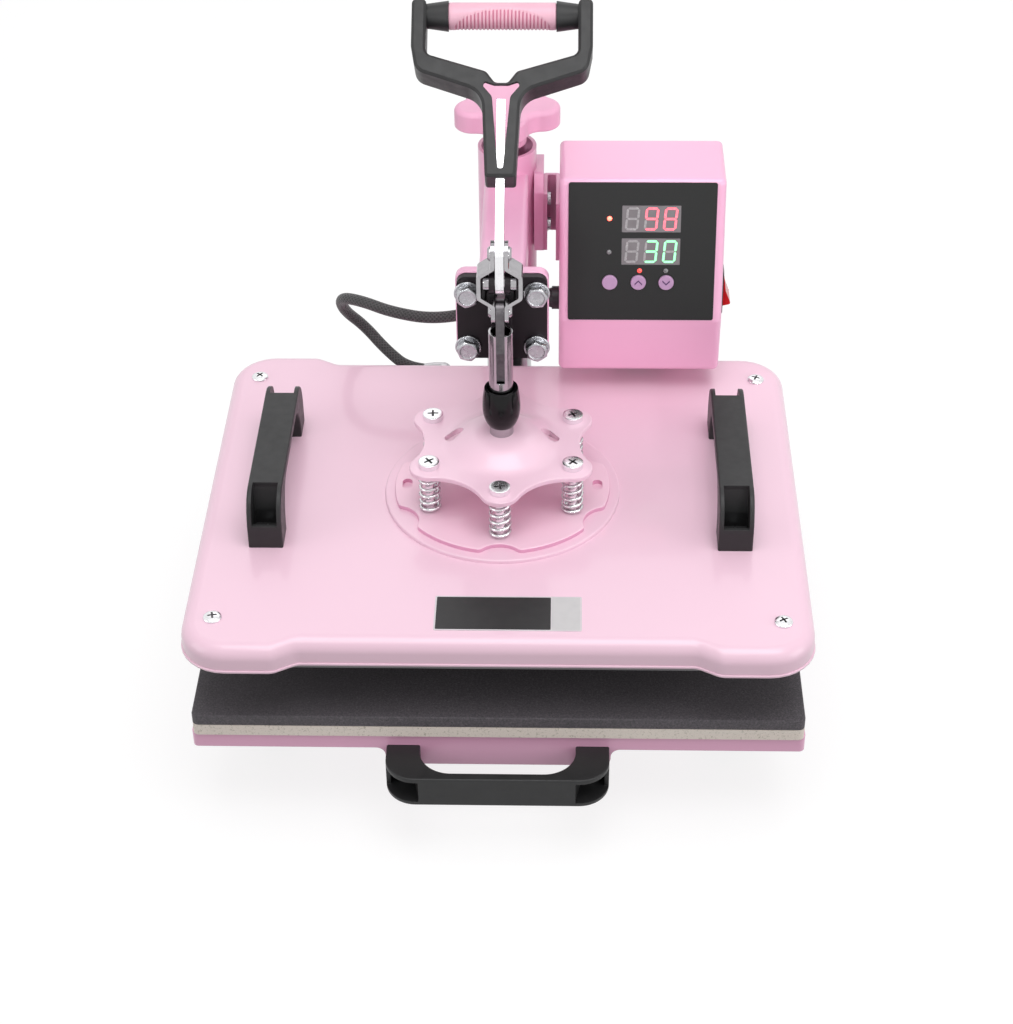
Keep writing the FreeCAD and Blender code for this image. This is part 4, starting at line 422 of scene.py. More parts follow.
def plain_plastic(name, colour, second, rough=0.4, depth=0.012):
    """Moulded plastic or rubber with a cloudy second tone and a fine grain."""
    return finish(name, colour, rough, 0.3, (3, 4, 0.4, 0.72, 0.6, second), (0.5, 3, depth),
                  (6, 3, rough * 0.85, rough * 1.2))


def cable_braid():
    """Woven glass sleeve: two sets of strands that cross, drawn along the tube's own coordinates."""
    braid = Finish("cable_braid", (34, 34, 35), rough=0.6, sheen=0.25)
    uv = braid.tree.nodes.new("ShaderNodeUVMap").outputs["UV"]
    across, along = braid.node("ShaderNodeSeparateXYZ", Vector=uv).outputs[:2]

    def maths(kind, *values):
        step = braid.node("ShaderNodeMath")
        step.operation = kind
        for socket, value in zip(step.inputs, values):
            if isinstance(value, float):
                socket.default_value = value
            else:
                braid.tree.links.new(value, socket)
        return step.outputs["Value"]

    strands = [maths("SINE", maths("MULTIPLY_ADD", across, way, along)) for way in (1.0, -1.0)]
    height = maths("MAXIMUM", *strands)
    # Strands lighter on their crests and darker in the dips between them: painted light and shade.
    braid.tint(braid.spread(height, 0.2, 1.0, 0.0, 0.8), (78, 76, 77))
    braid.cloud(2, 4, 0.5, 0.75, 0.5, (22, 22, 23))
    return braid.bump(braid.spread(height, -0.2, 1.0), 0.25).material


def label_face(name, colour, second, rough):
    return finish(name, colour, rough, 0, (6, 4, 0.4, 0.75, 0.5, second), (0.4, 2, 0.006), ior=1.4, coat=0.1,
                  coat_rough=0.15)


def floor_white():
    floor = Finish("floor_white", (132, 132, 132), rough=1.0, ior=1.1).glow((255, 255, 255), 0.80)
    return floor.cloud(500, 3, 0.4, 0.7, 0.5, (135, 135, 135)).material


PINK = pink_paint("pink_paint", (240, 178, 210), (244, 188, 217), (216, 146, 182))
PALE_PINK = pink_paint("pale_pink_paint", (241, 203, 221), (245, 209, 226), (218, 172, 196), 0.25, 0.45, 0.05)
# Slightly lighter copy of the pale pink paint for the plate under the springs: painted light.
PAINTED_LIGHT_PINK = pink_paint("painted_light_pink_paint", (246, 206, 224), (248, 212, 228), (224, 176, 200), 0.2, 0.45, 0.05)
# Darker copy of the pink paint, used as painted shade on the box bracket beside the arm and on the sides of
# the plate under the springs.
PAINTED_SHADE_PINK = pink_paint("painted_shade_pink_paint", (230, 166, 198), (234, 176, 204), (206, 140, 172))
BLACK_PLASTIC = black_plastic()
ZINC = zinc_steel()
CHROME = finish("chrome", (178, 176, 179), 0.12, 0.3, (6, 4, 0.45, 0.75, 0.5, (150, 148, 152)),
                (0.7, 3, 0.004, (1.0, 1.0, 0.3)), (3, 4, 0.09, 0.2, (1.0, 1.0, 0.2)), metal=1.0)
# Heating plate: aluminium darkened to a grey that paints the shade under the cover's rim.
PAINTED_SHADE_ALU = finish("aluminium", (104, 102, 104), 0.45, 0.4,
                   (20, 5, 0.4, 0.7, 0.5, (88, 86, 88), (0.15, 1.0, 1.0)), (0.5, 4, 0.012, (0.03, 1.0, 1.0)),
                   (1, 4, 0.26, 0.44, (0.04, 1.0, 1.0)), metal=1.0)
BRIGHT_STEEL = finish("bright_steel", (238, 238, 240), 0.24, 0.2, (3, 4, 0.5, 0.8, 0.5, (206, 206, 210)),
                      (0.5, 3, 0.008), metal=1.0)
# Dark steel of the plunger's tongue and pins, also used as painted shade in the screws' cross recesses.
GUNMETAL_AND_RECESS_SHADE = finish("gunmetal_and_recess_shade", (104, 101, 104), 0.3, 0.3, (4, 4, 0.4, 0.7, 0.6, (78, 74, 78)),
                    (0.5, 3, 0.01), metal=1.0)
SPRING_STEEL = finish("spring_steel", (226, 226, 228), 0.16, 0, (2, 4, 0.45, 0.75, 0.5, (176, 174, 174)),
                      (0.3, 3, 0.01), metal=1.0)
GREY_STEEL = finish("grey_steel", (120, 116, 112), 0.45, 0, (10, 5, 0.4, 0.7, 0.7, (92, 82, 74)),
                    (0.6, 4, 0.02), metal=1.0)
BRASS = finish("brass", (205, 174, 108), 0.3, 0, (4, 4, 0.4, 0.7, 0.5, (170, 138, 80)),
               (0.5, 3, 0.01), metal=1.0)
BLACK_GLOSS = finish("black_gloss", (9, 8, 10), 0.16, 0.4, (4, 3, 0.5, 0.8, 0.4, (16, 15, 17)),
                     (2.0, 2, 0.01), ior=1.33)
# Near-black paint of the clamp bracket; its purple tint is a painted reflection of the pink parts around it.
BLACK_PAINT = finish("black_paint", (25, 17, 23), 0.36, 0.5, (10, 4, 0.4, 0.75, 0.5, (28, 19, 26)),
                     (1.2, 3, 0.03), ior=1.35)
PANEL_FILM = finish("panel_film", (30, 31, 31), 0.42, 0.3, (0.5, 3, 0.45, 0.75, 0.5, (40, 41, 41), EVEN, 0.7),
                    (0.35, 2, 0.012), ior=1.36)
DISPLAY_GLASS = finish("display_glass", (112, 107, 110), 0.25, 0, (12, 3, 0.4, 0.7, 0.6, (126, 121, 124)),
                       (0.6, 2, 0.004), coat=0.5, coat_rough=0.05)
BLANKET = finish("blanket_fibre", (232, 228, 216), 0.95, 0, (3, 5, 0.4, 0.7, 0.7, (206, 200, 184)),
                 (1, 5, 0.4), sheen=0.2)
PINK_PLASTIC = pink_plastic("pink_plastic", (234, 172, 202), (224, 156, 189), 0.5)
GRIP_RUBBER = pink_plastic("grip_rubber", (232, 180, 198), (224, 166, 186), 0)
# Darker pink for the floors of the grip's grooves: painted shade.
GROOVE_SHADE_RUBBER = pink_plastic("groove_shade_rubber", (206, 130, 154), (196, 118, 144), 0)
BLACK_DETAIL = plain_plastic("black_detail", (36, 36, 38), (48, 48, 50))
BUTTON = plain_plastic("button_lilac", (176, 140, 176), (184, 150, 184), 0.35, 0.006)
NODE_MATERIALS = {
    PINK: ("base_frame", "lower_tray", "swing_arm", "box_housing", "box_back_plate"),
    PALE_PINK: ("spring_plate", "platen_cover"),
    PAINTED_LIGHT_PINK: ("spring_base_plate",),
    PAINTED_SHADE_PINK: ("box_bracket",),
    BLACK_PLASTIC: ("tube_end_caps", "pull_handle", "platen_handles", "lever_handle"),
    CHROME: ("swing_post", "pivot_pin", "toggle_links", "link_rivets", "plunger_tube", "platen_cable_gland"),
    ZINC: ("post_bolts", "stop_collar", "slide_rails", "rail_screws", "tray_runners", "knob_screw",
           "bracket_screws", "plunger_bolt"),
    BRIGHT_STEEL: ("lever_bar",),
    GUNMETAL_AND_RECESS_SHADE: ("plunger_tongue", "plunger_pins"),
    PINK_PLASTIC: ("height_knob",),
    BLACK_DETAIL: ("switch_frame", "power_inlet", "box_cable_gland"),
    BLACK_GLOSS: ("barrel_sleeve",),
    BLACK_PAINT: ("clamp_bracket",),
    plain_plastic("foot_rubber", (30, 30, 31), (42, 42, 43), 0.75, 0.05): ("rubber_feet",),
    fibre_board(): ("insulation_board",),
    plain_plastic("bush_plastic", (222, 216, 200), (206, 198, 178), 0.45): ("post_bushes",),
    PANEL_FILM: ("control_panel",),
    DISPLAY_GLASS: ("display_modules",),
    plain_plastic("circuit_resin", (38, 92, 58), (28, 74, 46)): ("circuit_board",),
    PAINTED_SHADE_ALU: ("heating_plate",),
    GREY_STEEL: ("heating_element",),
    BLANKET: ("insulation_blanket",),
    BRASS: ("thermostat",),
    BUTTON: ("set_button", "up_button", "down_button"),
    plain_plastic("rocker_red", (196, 22, 28), (214, 36, 40), 0.2, 0.005): ("rocker_switch",),
}


def dress_nodes():
    """Give every carried-over node its material."""
    for material, names in NODE_MATERIALS.items():
        for name in names:
            node = frame["nodes"][name]
            node.data.materials.clear()
            node.data.materials.append(material)


# Pieces of the frame whose form is brought nearer to the photograph


def through(value, stops):
    """Value carried along straight lines between (from, to) pairs, and shifted beyond them."""
    if value <= stops[0][0]:
        return value + stops[0][1] - stops[0][0]
    for (a, to_a), (b, to_b) in zip(stops, stops[1:]):
        if value <= b:
            return to_a + (value - a) / (b - a) * (to_b - to_a)
    return value + stops[-1][1] - stops[-1][0]


def both_ways(value, stops):
    return math.copysign(through(abs(value), stops), value)


def settle(piece, body, node):
    """Let a piece ride on a body, in the place of a node if it has one."""
    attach(piece, body)
    if node:
        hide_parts(node)


def reshape(node, body, move):
    """Put a copy of a node's mesh, with its points moved by a rule, in the node's place."""
    piece = linked(node + "_shaped", frame["nodes"][node].data.copy())
    for vertex in piece.data.vertices:
        vertex.co = move(vertex.co.copy())
    piece.data.update()
    settle(piece, body, node)
    return piece


def push(node, body, way, past, shift):
    """Reshape a node by shifting the points that lie further along way than past."""
    reshape(node, body, lambda point: point + shift if point.dot(way) > past else point)


HANDLE_NODE_Y = AXIS.y + 9.0 * MM
HANDLE_MID_Y = AXIS.y + 9.4 * MM
HANDLE_ALONG = ((0.0, 0.0), (27.5 * MM, 30.15 * MM))
HANDLE_UP = ((6.0 * MM, 6.0 * MM), (15.0 * MM, 16.5 * MM), (24.5 * MM, 29.5 * MM))
PULL_ACROSS = ((0.0, 0.0), (27.5 * MM, 28.5 * MM))


def shape_handles():
    """Longer and taller bows and a wider pull; the pockets keep their floor."""

    def stretch(point):
        point.y = HANDLE_MID_Y + both_ways(point.y - HANDLE_NODE_Y, HANDLE_ALONG)
        point.z = COVER_TOP + through(point.z - COVER_TOP, HANDLE_UP)
        return point

    def widen(point):
        point.x = both_ways(point.x, PULL_ACROSS)
        return point

    reshape("platen_handles", "platen", stretch)
    reshape("pull_handle", "drawer", widen)


BACKWARD = Vector((0, 1, 0))
UP = Vector((0, 0, 1))
BASE_FRONT_Y = AXIS.y - 60.0 * MM
BASE_SET_BACK = 13.0 * MM


def shape_base():
    """Front end of the base and of the slide set back under the tray."""
    for node, body, slot in (
        ("base_frame", "base", "pink_paint"), ("tube_end_caps", "base", "handle_plastic"),
        ("rubber_feet", "base", "foot_rubber"), ("slide_rails", "base", "zinc_steel"),
        ("rail_screws", "base", "zinc_steel"), ("tray_runners", "drawer", "zinc_steel"),
    ):
        push(node, body, -BACKWARD, -BASE_FRONT_Y, BACKWARD * BASE_SET_BACK)


TRAY_FRONT_Y = AXIS.y - 151.0 * MM
TRAY_FLAT = 80.0 * MM
TRAY_NODE_CORNER = 14.0 * MM
TRAY_GROWTH = 2.5 * MM
TRAY_CORNER = 3.5 * MM


def shape_tray():
    """Wider tray with nearly square corners."""
    half_w, back = high("lower_tray").x, high("lower_tray").y
    mid_y, half_d = (TRAY_FRONT_Y + back) / 2, (back - TRAY_FRONT_Y) / 2
    wide = half_w + TRAY_GROWTH
    across = ((TRAY_FLAT, TRAY_FLAT), (half_w - TRAY_NODE_CORNER, wide - TRAY_CORNER), (half_w, wide))
    deep = ((TRAY_FLAT, TRAY_FLAT), (half_d - TRAY_NODE_CORNER, half_d - TRAY_CORNER), (half_d, half_d))

    def square_up(point):
        point.x = both_ways(point.x, across)
        point.y = mid_y + both_ways(point.y - mid_y, deep)
        return point

    reshape("lower_tray", "drawer", square_up)


KNOB_TURN = -56.0
KNOB_GROWTH = 36.8 / 36.3
KNOB_HEAD_H = 17.5 * MM
KNOB_TOP_RISE = 2.5 * MM
SLEEVE_RISE = 7.0 * MM
SCREW_RISE = 5.0 * MM


def shape_knob():
    """Higher sleeve, longer screw, and a thinner knob turned as in the photograph."""
    foot, top = low("height_knob").z, high("height_knob").z
    under = top - KNOB_HEAD_H
    levels = ((foot, foot + SLEEVE_RISE), (under, under + SCREW_RISE), (top, top + KNOB_TOP_RISE))
    centre = middle("knob_screw")
    turn = Matrix.Rotation(math.radians(KNOB_TURN), 3, "Z")

    def turn_knob(point):
        flat = turn @ Vector((point.x - centre.x, point.y - centre.y, 0)) * KNOB_GROWTH
        return Vector((centre.x + flat.x, centre.y + flat.y, through(point.z, levels)))

    push("swing_arm", "arm", UP, high("swing_arm").z - 1.0 * MM, UP * SLEEVE_RISE)
    reshape("height_knob", "knob", turn_knob)
    push("knob_screw", "knob", UP, centre.z, UP * SCREW_RISE)


STAR_SLOT_AT = (31.0 * MM, 5.5 * MM)
STAR_SLOT_HALF = 3.25 * MM   # straight half of the node's slot
STAR_SLOT_REACH = 3.2 * MM   # past its rounded ends and sides
STAR_SLOT_LEAN = (37, 42)    # degrees, in the node and as shown
STAR_SLOT_GROWTH = (13.0 / 12.0, 8.0 / 5.5)
STAR_SLOPE = 0.3
DISC_HOLE_X = 62.0 * MM
DISC_HOLE_REACH = 3.6 * MM
DISC_HOLE_STRETCH = 2.05 * MM


def shape_spring_plates():
    """Fuller slots in the star, and two short slots and sides in a darker pink of painted shade on the plate
    below it.
    """

    def widen_slots(point):
        for side in (-1, 1):
            spot = Vector((side * STAR_SLOT_AT[0], AXIS.y + STAR_SLOT_AT[1]))
            before, after = (Matrix.Rotation(math.radians(-side * lean), 2) for lean in STAR_SLOT_LEAN)
            near = before.transposed() @ (point.to_2d() - spot)
            if math.hypot(max(abs(near.x) - STAR_SLOT_HALF, 0.0), near.y) < STAR_SLOT_REACH:
                moved = spot + after @ Vector((near.x * STAR_SLOT_GROWTH[0], near.y * STAR_SLOT_GROWTH[1]))
                axis = AXIS.to_2d()
                inward = (point.to_2d() - axis).length - (moved - axis).length
                point = Vector((moved.x, moved.y, point.z + STAR_SLOPE * inward))
        return point

    def stretch_holes(point):
        for side in (-1, 1):
            if math.hypot(point.x - side * DISC_HOLE_X, point.y - AXIS.y) < DISC_HOLE_REACH:
                point.y += math.copysign(DISC_HOLE_STRETCH, point.y - AXIS.y)
        return point

    reshape("spring_plate", "plunger", widen_slots)
    disc = reshape("spring_base_plate", "platen", stretch_holes)
    # Sides of the plate take the darker pink as painted shade.
    disc.data.materials.append(PAINTED_SHADE_PINK)
    for face in disc.data.polygons:
        if abs(face.normal.z) < 0.5:
            face.material_index = 1


LEVER_LEAN = math.radians(50)
LEVER_WAY = Vector((0, math.sin(LEVER_LEAN), math.cos(LEVER_LEAN)))
LEVER_OUT = Vector((0, -math.cos(LEVER_LEAN), math.sin(LEVER_LEAN)))
LEVER_FOOT = middle("lever_grip") - LEVER_WAY * 151.0 * MM
BAR_TOP = 70.0 * MM
BAR_GROWTH = 19.0 * MM
GRIP_RISE = 4.0 * MM
GRIP_END_X = 47.2 * MM
GRIP_END_R = 11.0 * MM
SLOT_TOP = 105.3
SLOT_HALF = ((1.6, 51.0, 1.4), (5.6, SLOT_TOP - 7.8, 5.0), (11.2, SLOT_TOP - 1.0, 1.2),
             (10.6, SLOT_TOP + 2.2, 1.2), (4.4, SLOT_TOP, 5.0))
HOLLOW_HALF = ((5.2, SLOT_TOP - 5.0, 0.1), (12.5, SLOT_TOP + 1.0, 0.1), (14.0, SLOT_TOP + 6.0, 0.1),
               (12.0, SLOT_TOP + 14.0, 0.1))
LEVER_HALF_T = 11.5
HOLLOW_DEPTH = 8.0


def shape_bar():
    """Longer steel bar, which shows through the slot of the lever handle."""
    past = LEVER_FOOT.dot(LEVER_WAY) + BAR_TOP
    push("lever_bar", "lever", LEVER_WAY, past, LEVER_WAY * BAR_GROWTH)


def joined_mesh(source, move):
    """Vertices and faces of a mesh with each spot used once, and each vertex moved by a rule."""
    spots = {}
    numbers = []
    verts = []
    for vertex in source.vertices:
        key = tuple(round(c * 1e6) for c in vertex.co)
        if key not in spots:
            spots[key] = len(verts)
            verts.append(move(vertex.co.copy()))
        numbers.append(spots[key])
    faces = [[numbers[i] for i in polygon.vertices] for polygon in source.polygons]
    return verts, [face for face in faces if len(set(face)) == len(face)]


def shape_lever():
    """Wide Y-shaped slot in the lever handle, parted from the notch above by a thin web."""
    grip = middle("lever_grip")
    turn = Matrix((Vector((1, 0, 0)), LEVER_WAY, LEVER_OUT)).transposed().to_4x4()
    place = Matrix.Translation(LEVER_FOOT) @ turn

    def raise_ends(point):
        if abs(point.x) < GRIP_END_X and math.hypot(point.y - grip.y, point.z - grip.z) < GRIP_END_R:
            point += LEVER_WAY * GRIP_RISE
        return point

    form = Form()
    form.add(*joined_mesh(frame["nodes"]["lever_handle"].data, raise_ends))
    for half, depth in ((SLOT_HALF, LEVER_HALF_T), (HOLLOW_HALF, HOLLOW_DEPTH)):
        corners = list(half) + [(-x, u, r) for x, u, r in reversed(half)]
        outline = rounded_outline([(x * MM, u * MM, r * MM) for x, u, r in corners])
        cutter = Form()
        cutter.prism(outline, -LEVER_HALF_T * MM, depth * MM, place)
        rest = carved(form.build("handle", [BLACK_PLASTIC]), cutter.build("cutter", [BLACK_PLASTIC]))
        form = Form()
        form.add(*rest)
    settle(form.build("lever_y_handle", [BLACK_PLASTIC]), "lever", "lever_handle")


# Cover of the upper platen

COVER_HALF_W = 194.0 * MM
COVER_HALF_D = 162.5 * MM
COVER_CORNER_R = 30.0 * MM
COVER_STEP = 8.0 * MM
STEP_OUT_X = 135.0 * MM
STEP_IN_X = 121.0 * MM
STEP_R = 12.0 * MM
HEM_OUT = 0.8 * MM
HEM_H = 1.6 * MM
COVER_EDGE_R = 9.0 * MM
COVER_WALL = 1.0 * MM
RAISED_R = 76.5 * MM
BEAD_R = 1.0 * MM


def cover_outline(inset):
    hx, hy = COVER_HALF_W - inset, COVER_HALF_D - inset
    step = hy - COVER_STEP
    corner = max(COVER_CORNER_R - inset, 1 * MM)
    half = [(STEP_IN_X, step, STEP_R), (STEP_OUT_X, hy, STEP_R), (hx, hy, corner)]
    right = [(x, -y, r) for x, y, r in half] + half[::-1]
    left = [(-x, y, r) for x, y, r in right[::-1]]
    return rounded_outline([(x, y + AXIS.y, r) for x, y, r in right + left], 8)


def make_cover():
    """Pressed sheet cover: stepped front and back, rolled top edge, folded rim and a raised round middle."""
    rim = low("platen_cover").z
    hem = rim + HEM_H
    edge_foot = COVER_TOP - COVER_EDGE_R
    inner = HEM_OUT + COVER_WALL
    levels = [(COVER_EDGE_R + inner, COVER_TOP - COVER_WALL), (inner, edge_foot), (inner, rim),
              (0.2 * MM, rim), (0.0, rim + 0.3 * MM), (0.0, hem - 0.4 * MM), (0.35 * MM, hem),
              (HEM_OUT, hem), (HEM_OUT, edge_foot)]
    for degrees in range(10, 91, 10):
        across, up = polar(COVER_EDGE_R, degrees)
        levels.append((HEM_OUT + COVER_EDGE_R - across, edge_foot + up))
    levels.append((HEM_OUT + COVER_EDGE_R + 0.4 * MM, COVER_TOP))
    form = Form()
    form.loft([[(x, y, z) for x, y in cover_outline(inset)] for inset, z in levels])
    bead = [polar(BEAD_R, degrees) for degrees in (0, 22, 45, 67, 90)]
    profile = [(RAISED_R, COVER_TOP - 0.05 * MM)]
    profile += [(RAISED_R - BEAD_R + x, DISC_TOP - BEAD_R + z) for x, z in bead]
    profile += [(RAISED_R - 1.3 * BEAD_R, DISC_TOP), (0, DISC_TOP)]
    form.lathe(profile, Matrix.Translation(AXIS), sides=180)
    settle(form.build("pressed_cover", [PALE_PINK]), "platen", "platen_cover")


# Sleeve on the plunger and gland of the cable

BARREL_H = 27.3 * MM
BARREL_BORE_R = 7.7 * MM
BARREL_STOPS = ((0.0, 8.6), (0.28, 11.6), (0.5, 12.1), (0.72, 11.8), (1.0, 10.7))
GLAND_AT = (-46.0 * MM, AXIS.y + 160.5 * MM, 138.5 * MM)
GLAND_R = 5.5 * MM
GLAND_MOUTH_R = 4.6 * MM


def make_barrel():
    """Barrel-shaped grip sleeve with a cupped mouth; its bulge is one smooth curve through the stops."""
    foot = low("barrel_sleeve").z
    top = foot + BARREL_H
    profile = [(BARREL_BORE_R, foot)]
    for i in range(21):
        t = i / 20
        radius = 0.0
        for at, r in BARREL_STOPS:
            for other, _ in BARREL_STOPS:
                if other != at:
                    r *= (t - other) / (at - other)
            radius += r
        profile.append((radius * MM, foot + t * BARREL_H))
    profile += [(8.9 * MM, top), (BARREL_BORE_R, top - 4.0 * MM), (BARREL_BORE_R, foot)]
    form = Form()
    form.lathe(profile, Matrix.Translation(AXIS), sides=72)
    settle(form.build("grip_barrel", [BLACK_GLOSS]), "plunger", "barrel_sleeve")


def make_gland():
    """Elbow that takes the heater cable into the cover's back wall."""
    x, y, z = GLAND_AT
    r = GLAND_R
    wall = AXIS.y + COVER_HALF_D - COVER_STEP
    form = Form()
    form.lathe([(0, 0), (r, 0), (r, y - wall), (0, y - wall)], standing((x, wall, z), (0, 1, 0)))
    form.lathe([(0, -r)] + arc((0, 0), r, -75, 75, 10) + [(0, r)], Matrix.Translation((x, y, z)))
    mouth = [(0, 0), (r, 0), (r, 7.0 * MM), (GLAND_MOUTH_R, 14.0 * MM), (0, 14.0 * MM)]
    form.lathe(mouth, standing((x, y, z), (-1, 0, 0)))
    settle(form.build("elbow_gland", [CHROME]), "platen", "platen_cable_gland")


# Springs and screws

SCREW_COUNT = 6
SCREW_CIRCLE = 52.7 * MM
SPRING_WIRE_R = 1.15 * MM
SPRING_R = 7.2 * MM
SPRING_TURNS = 4.6
REST_TURNS = 0.8
POINTS_PER_TURN = 22


def screw_spots():
    """Centres of the spring screws, the first at the front."""
    return [AXIS + Vector((*polar(SCREW_CIRCLE, 360 * i / SCREW_COUNT - 90), 0)) for i in range(SCREW_COUNT)]


def spring_line(spot, turn):
    """Closed end turn, open turns, closed end turn."""
    floor = LOWER_TOP + SPRING_WIRE_R
    rise = STAR_Z - LOWER_TOP - 2 * SPRING_WIRE_R
    total = SPRING_TURNS + 2 * REST_TURNS
    end_rise = 2 * SPRING_WIRE_R * REST_TURNS
    climb = ((0.0, 0.0), (REST_TURNS, end_rise), (total - REST_TURNS, rise - end_rise), (total, rise))
    points = []
    for i in range(int(total * POINTS_PER_TURN) + 1):
        t = i / POINTS_PER_TURN
        x, y = polar(SPRING_R - SPRING_WIRE_R, 360 * t + math.degrees(turn))
        points.append(spot + Vector((x, y, floor + min(through(t, climb), rise))))
    return points


def make_springs():
    form = Form()
    for i, spot in enumerate(screw_spots()):
        form.loft(tube_loops(spring_line(spot, 0.9 + 1.1 * i), SPRING_WIRE_R, 10))
    springs = form.build("coil_springs", [SPRING_STEEL], smooth_angle=60)
    settle(springs, "platen", "platen_springs")
    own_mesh(springs)


def cross_outline(reach, half):
    """Plus sign as (x, y) points."""
    arm = ((half, half), (half, reach), (-half, reach))
    quarters = ((1, 0), (0, 1), (-1, 0), (0, -1))
    return [(x * c - y * s, x * s + y * c) for c, s in quarters for x, y in arm]


def screw_head(radius, height, recess, lip):
    """Screw head on z = 0, domed above the lip: vertices, faces, and which faces are its cross recess, to be
    shown in a darker material as painted shade.
    """
    profile = [(0, 0), (radius - 0.2 * MM, 0), (radius, 0.2 * MM), (radius, lip)]
    for degrees in (15, 30, 45, 58, 70, 80):
        out, up = polar(1.0, degrees)
        profile.append((radius * out, lip + (height - lip) * up))
    form = Form()
    form.lathe(profile + [(0, height)], sides=56)
    cutter = Form()
    cutter.prism(cross_outline(recess, 0.2 * recess), 0.45 * height, height + 0.2 * MM, shrink=0.6)
    verts, faces = carved(form.build("head", [ZINC]), cutter.build("cutter", [ZINC]))
    recess_shade = []
    for face in faces:
        centre = sum((verts[i] for i in face), Vector()) / len(face)
        inside = all(verts[i].to_2d().length < recess + 0.05 * MM for i in face)
        dome = lip + (height - lip) * math.sqrt(max(1 - (centre.to_2d().length / radius) ** 2, 0.0))
        recess_shade.append(inside and 0.3 * height < centre.z < dome - 0.12 * MM)
    return verts, faces, recess_shade


def make_screws(name, finish, body, node, head, shank, places, nut_foot=None):
    """Screws at (place, turn) spots; shank is (radius, height) points below the head."""
    verts, faces, recess_shade = head
    form = Form()
    for place, turn in places:
        turned = place @ Matrix.Rotation(turn, 4, "Z")
        # Faces of the cross recess take material 1, a darker steel that paints shade into the recess.
        for number in (0, 1):
            form.add(verts, [face for face, dark in zip(faces, recess_shade) if dark == number], number, turned)
        form.lathe(shank, place, sides=28)
        if nut_foot is not None:
            outline = [polar(NUT_ACROSS / math.sqrt(3), 60 * i) for i in range(6)]
            form.prism(outline, nut_foot, nut_foot + NUT_H, place)
    settle(form.build(name, [finish, GUNMETAL_AND_RECESS_SHADE]), body, node)


HANDLE_REACH = 60.65 * MM
PULL_REACH = 59.0 * MM
POCKET_FLOOR = 6.0 * MM
HANDLE_WALL = 1.5 * MM
HANDLE_X = 148.5 * MM
NUT_ACROSS = 8.0 * MM
NUT_H = 3.0 * MM
FOUR_SIDES = ((-1, -1), (-1, 1), (1, -1), (1, 1))
CORNER_SCREWS = (173.7 * MM, 131.0 * MM)
TURNS = (0.2, 0.85, 0.5, 1.2, 0.05, 0.65)


def threaded(radius, top, bottom, pitch):
    """Profile of a threaded shank from top down to bottom."""
    points = [(radius, top)]
    z = top
    while z - pitch > bottom:
        points.extend([(radius, z - 0.25 * pitch), (radius * 0.86, z - 0.6 * pitch)])
        z -= pitch
    points.extend([(radius * 0.8, bottom), (0, bottom)])
    return points


def make_shoulder_screws():
    head = screw_head(6.6 * MM, 4.2 * MM, 3.7 * MM, 3.7 * MM)
    star_top = STAR_Z + STAR_T
    shoulder = LOWER_TOP - star_top
    nut_foot = DISC_TOP - 1.5 * MM - star_top - NUT_H
    shank = [(3.0 * MM, 0), (3.0 * MM, shoulder)]
    shank += threaded(2.5 * MM, shoulder - 0.1 * MM, nut_foot, 1.0 * MM)
    places = [Matrix.Translation(spot + UP * (star_top + 0.05 * MM)) for spot in screw_spots()]
    make_screws("phillips_shoulder_screws", BRIGHT_STEEL, "platen", "shoulder_screws", head, shank,
                zip(places, TURNS), nut_foot)


def make_cover_screws():
    head = screw_head(5.8 * MM, 2.6 * MM, 3.3 * MM, 0.7 * MM)
    shank = threaded(2.0 * MM, 0, -12.0 * MM, 0.8 * MM)
    x, y = CORNER_SCREWS
    places = [Matrix.Translation((sx * x, AXIS.y + sy * y, COVER_TOP)) for sx, sy in FOUR_SIDES]
    make_screws("phillips_cover_screws", BRIGHT_STEEL, "platen", "cover_corner_screws", head, shank,
                zip(places, TURNS))


def make_handle_screws():
    head = screw_head(4.7 * MM, 2.6 * MM, 2.6 * MM, 0.8 * MM)
    nut_foot = -POCKET_FLOOR - HANDLE_WALL - NUT_H
    shank = threaded(2.5 * MM, 0, nut_foot, 0.9 * MM)
    floor = COVER_TOP + POCKET_FLOOR
    spots = [(x * HANDLE_X, HANDLE_MID_Y + y * HANDLE_REACH, floor) for x, y in FOUR_SIDES]
    places = [Matrix.Translation(spot) for spot in spots]
    make_screws("phillips_handle_screws", ZINC, "platen", "platen_handle_screws", head, shank,
                zip(places, TURNS), nut_foot)
    face, mid = high("pull_handle").y - POCKET_FLOOR, middle("pull_handle").z
    places = [standing((side * PULL_REACH, face, mid), -BACKWARD) for side in (-1, 1)]
    make_screws("phillips_pull_screws", ZINC, "drawer", "pull_handle_screws", head, shank,
                zip(places, (0.4, 1.0)), nut_foot)


# Clamp bolts

BOLT_ACROSS = 13.0 * MM
BOLT_DX = 22.0 * MM
BOLT_Z = (239.45 * MM, 279.75 * MM)
WASHER_T = 1.4 * MM
SPLIT_T = 1.5 * MM
BOLT_R = 4.0 * MM
WASHER_HOLE_R = 4.3 * MM
WASHER_R = 8.4 * MM
SPLIT_R = 7.2 * MM
BOLT_TAIL = 13.0 * MM
HEAD_SIDES = 72
WASHER_STEPS = 60


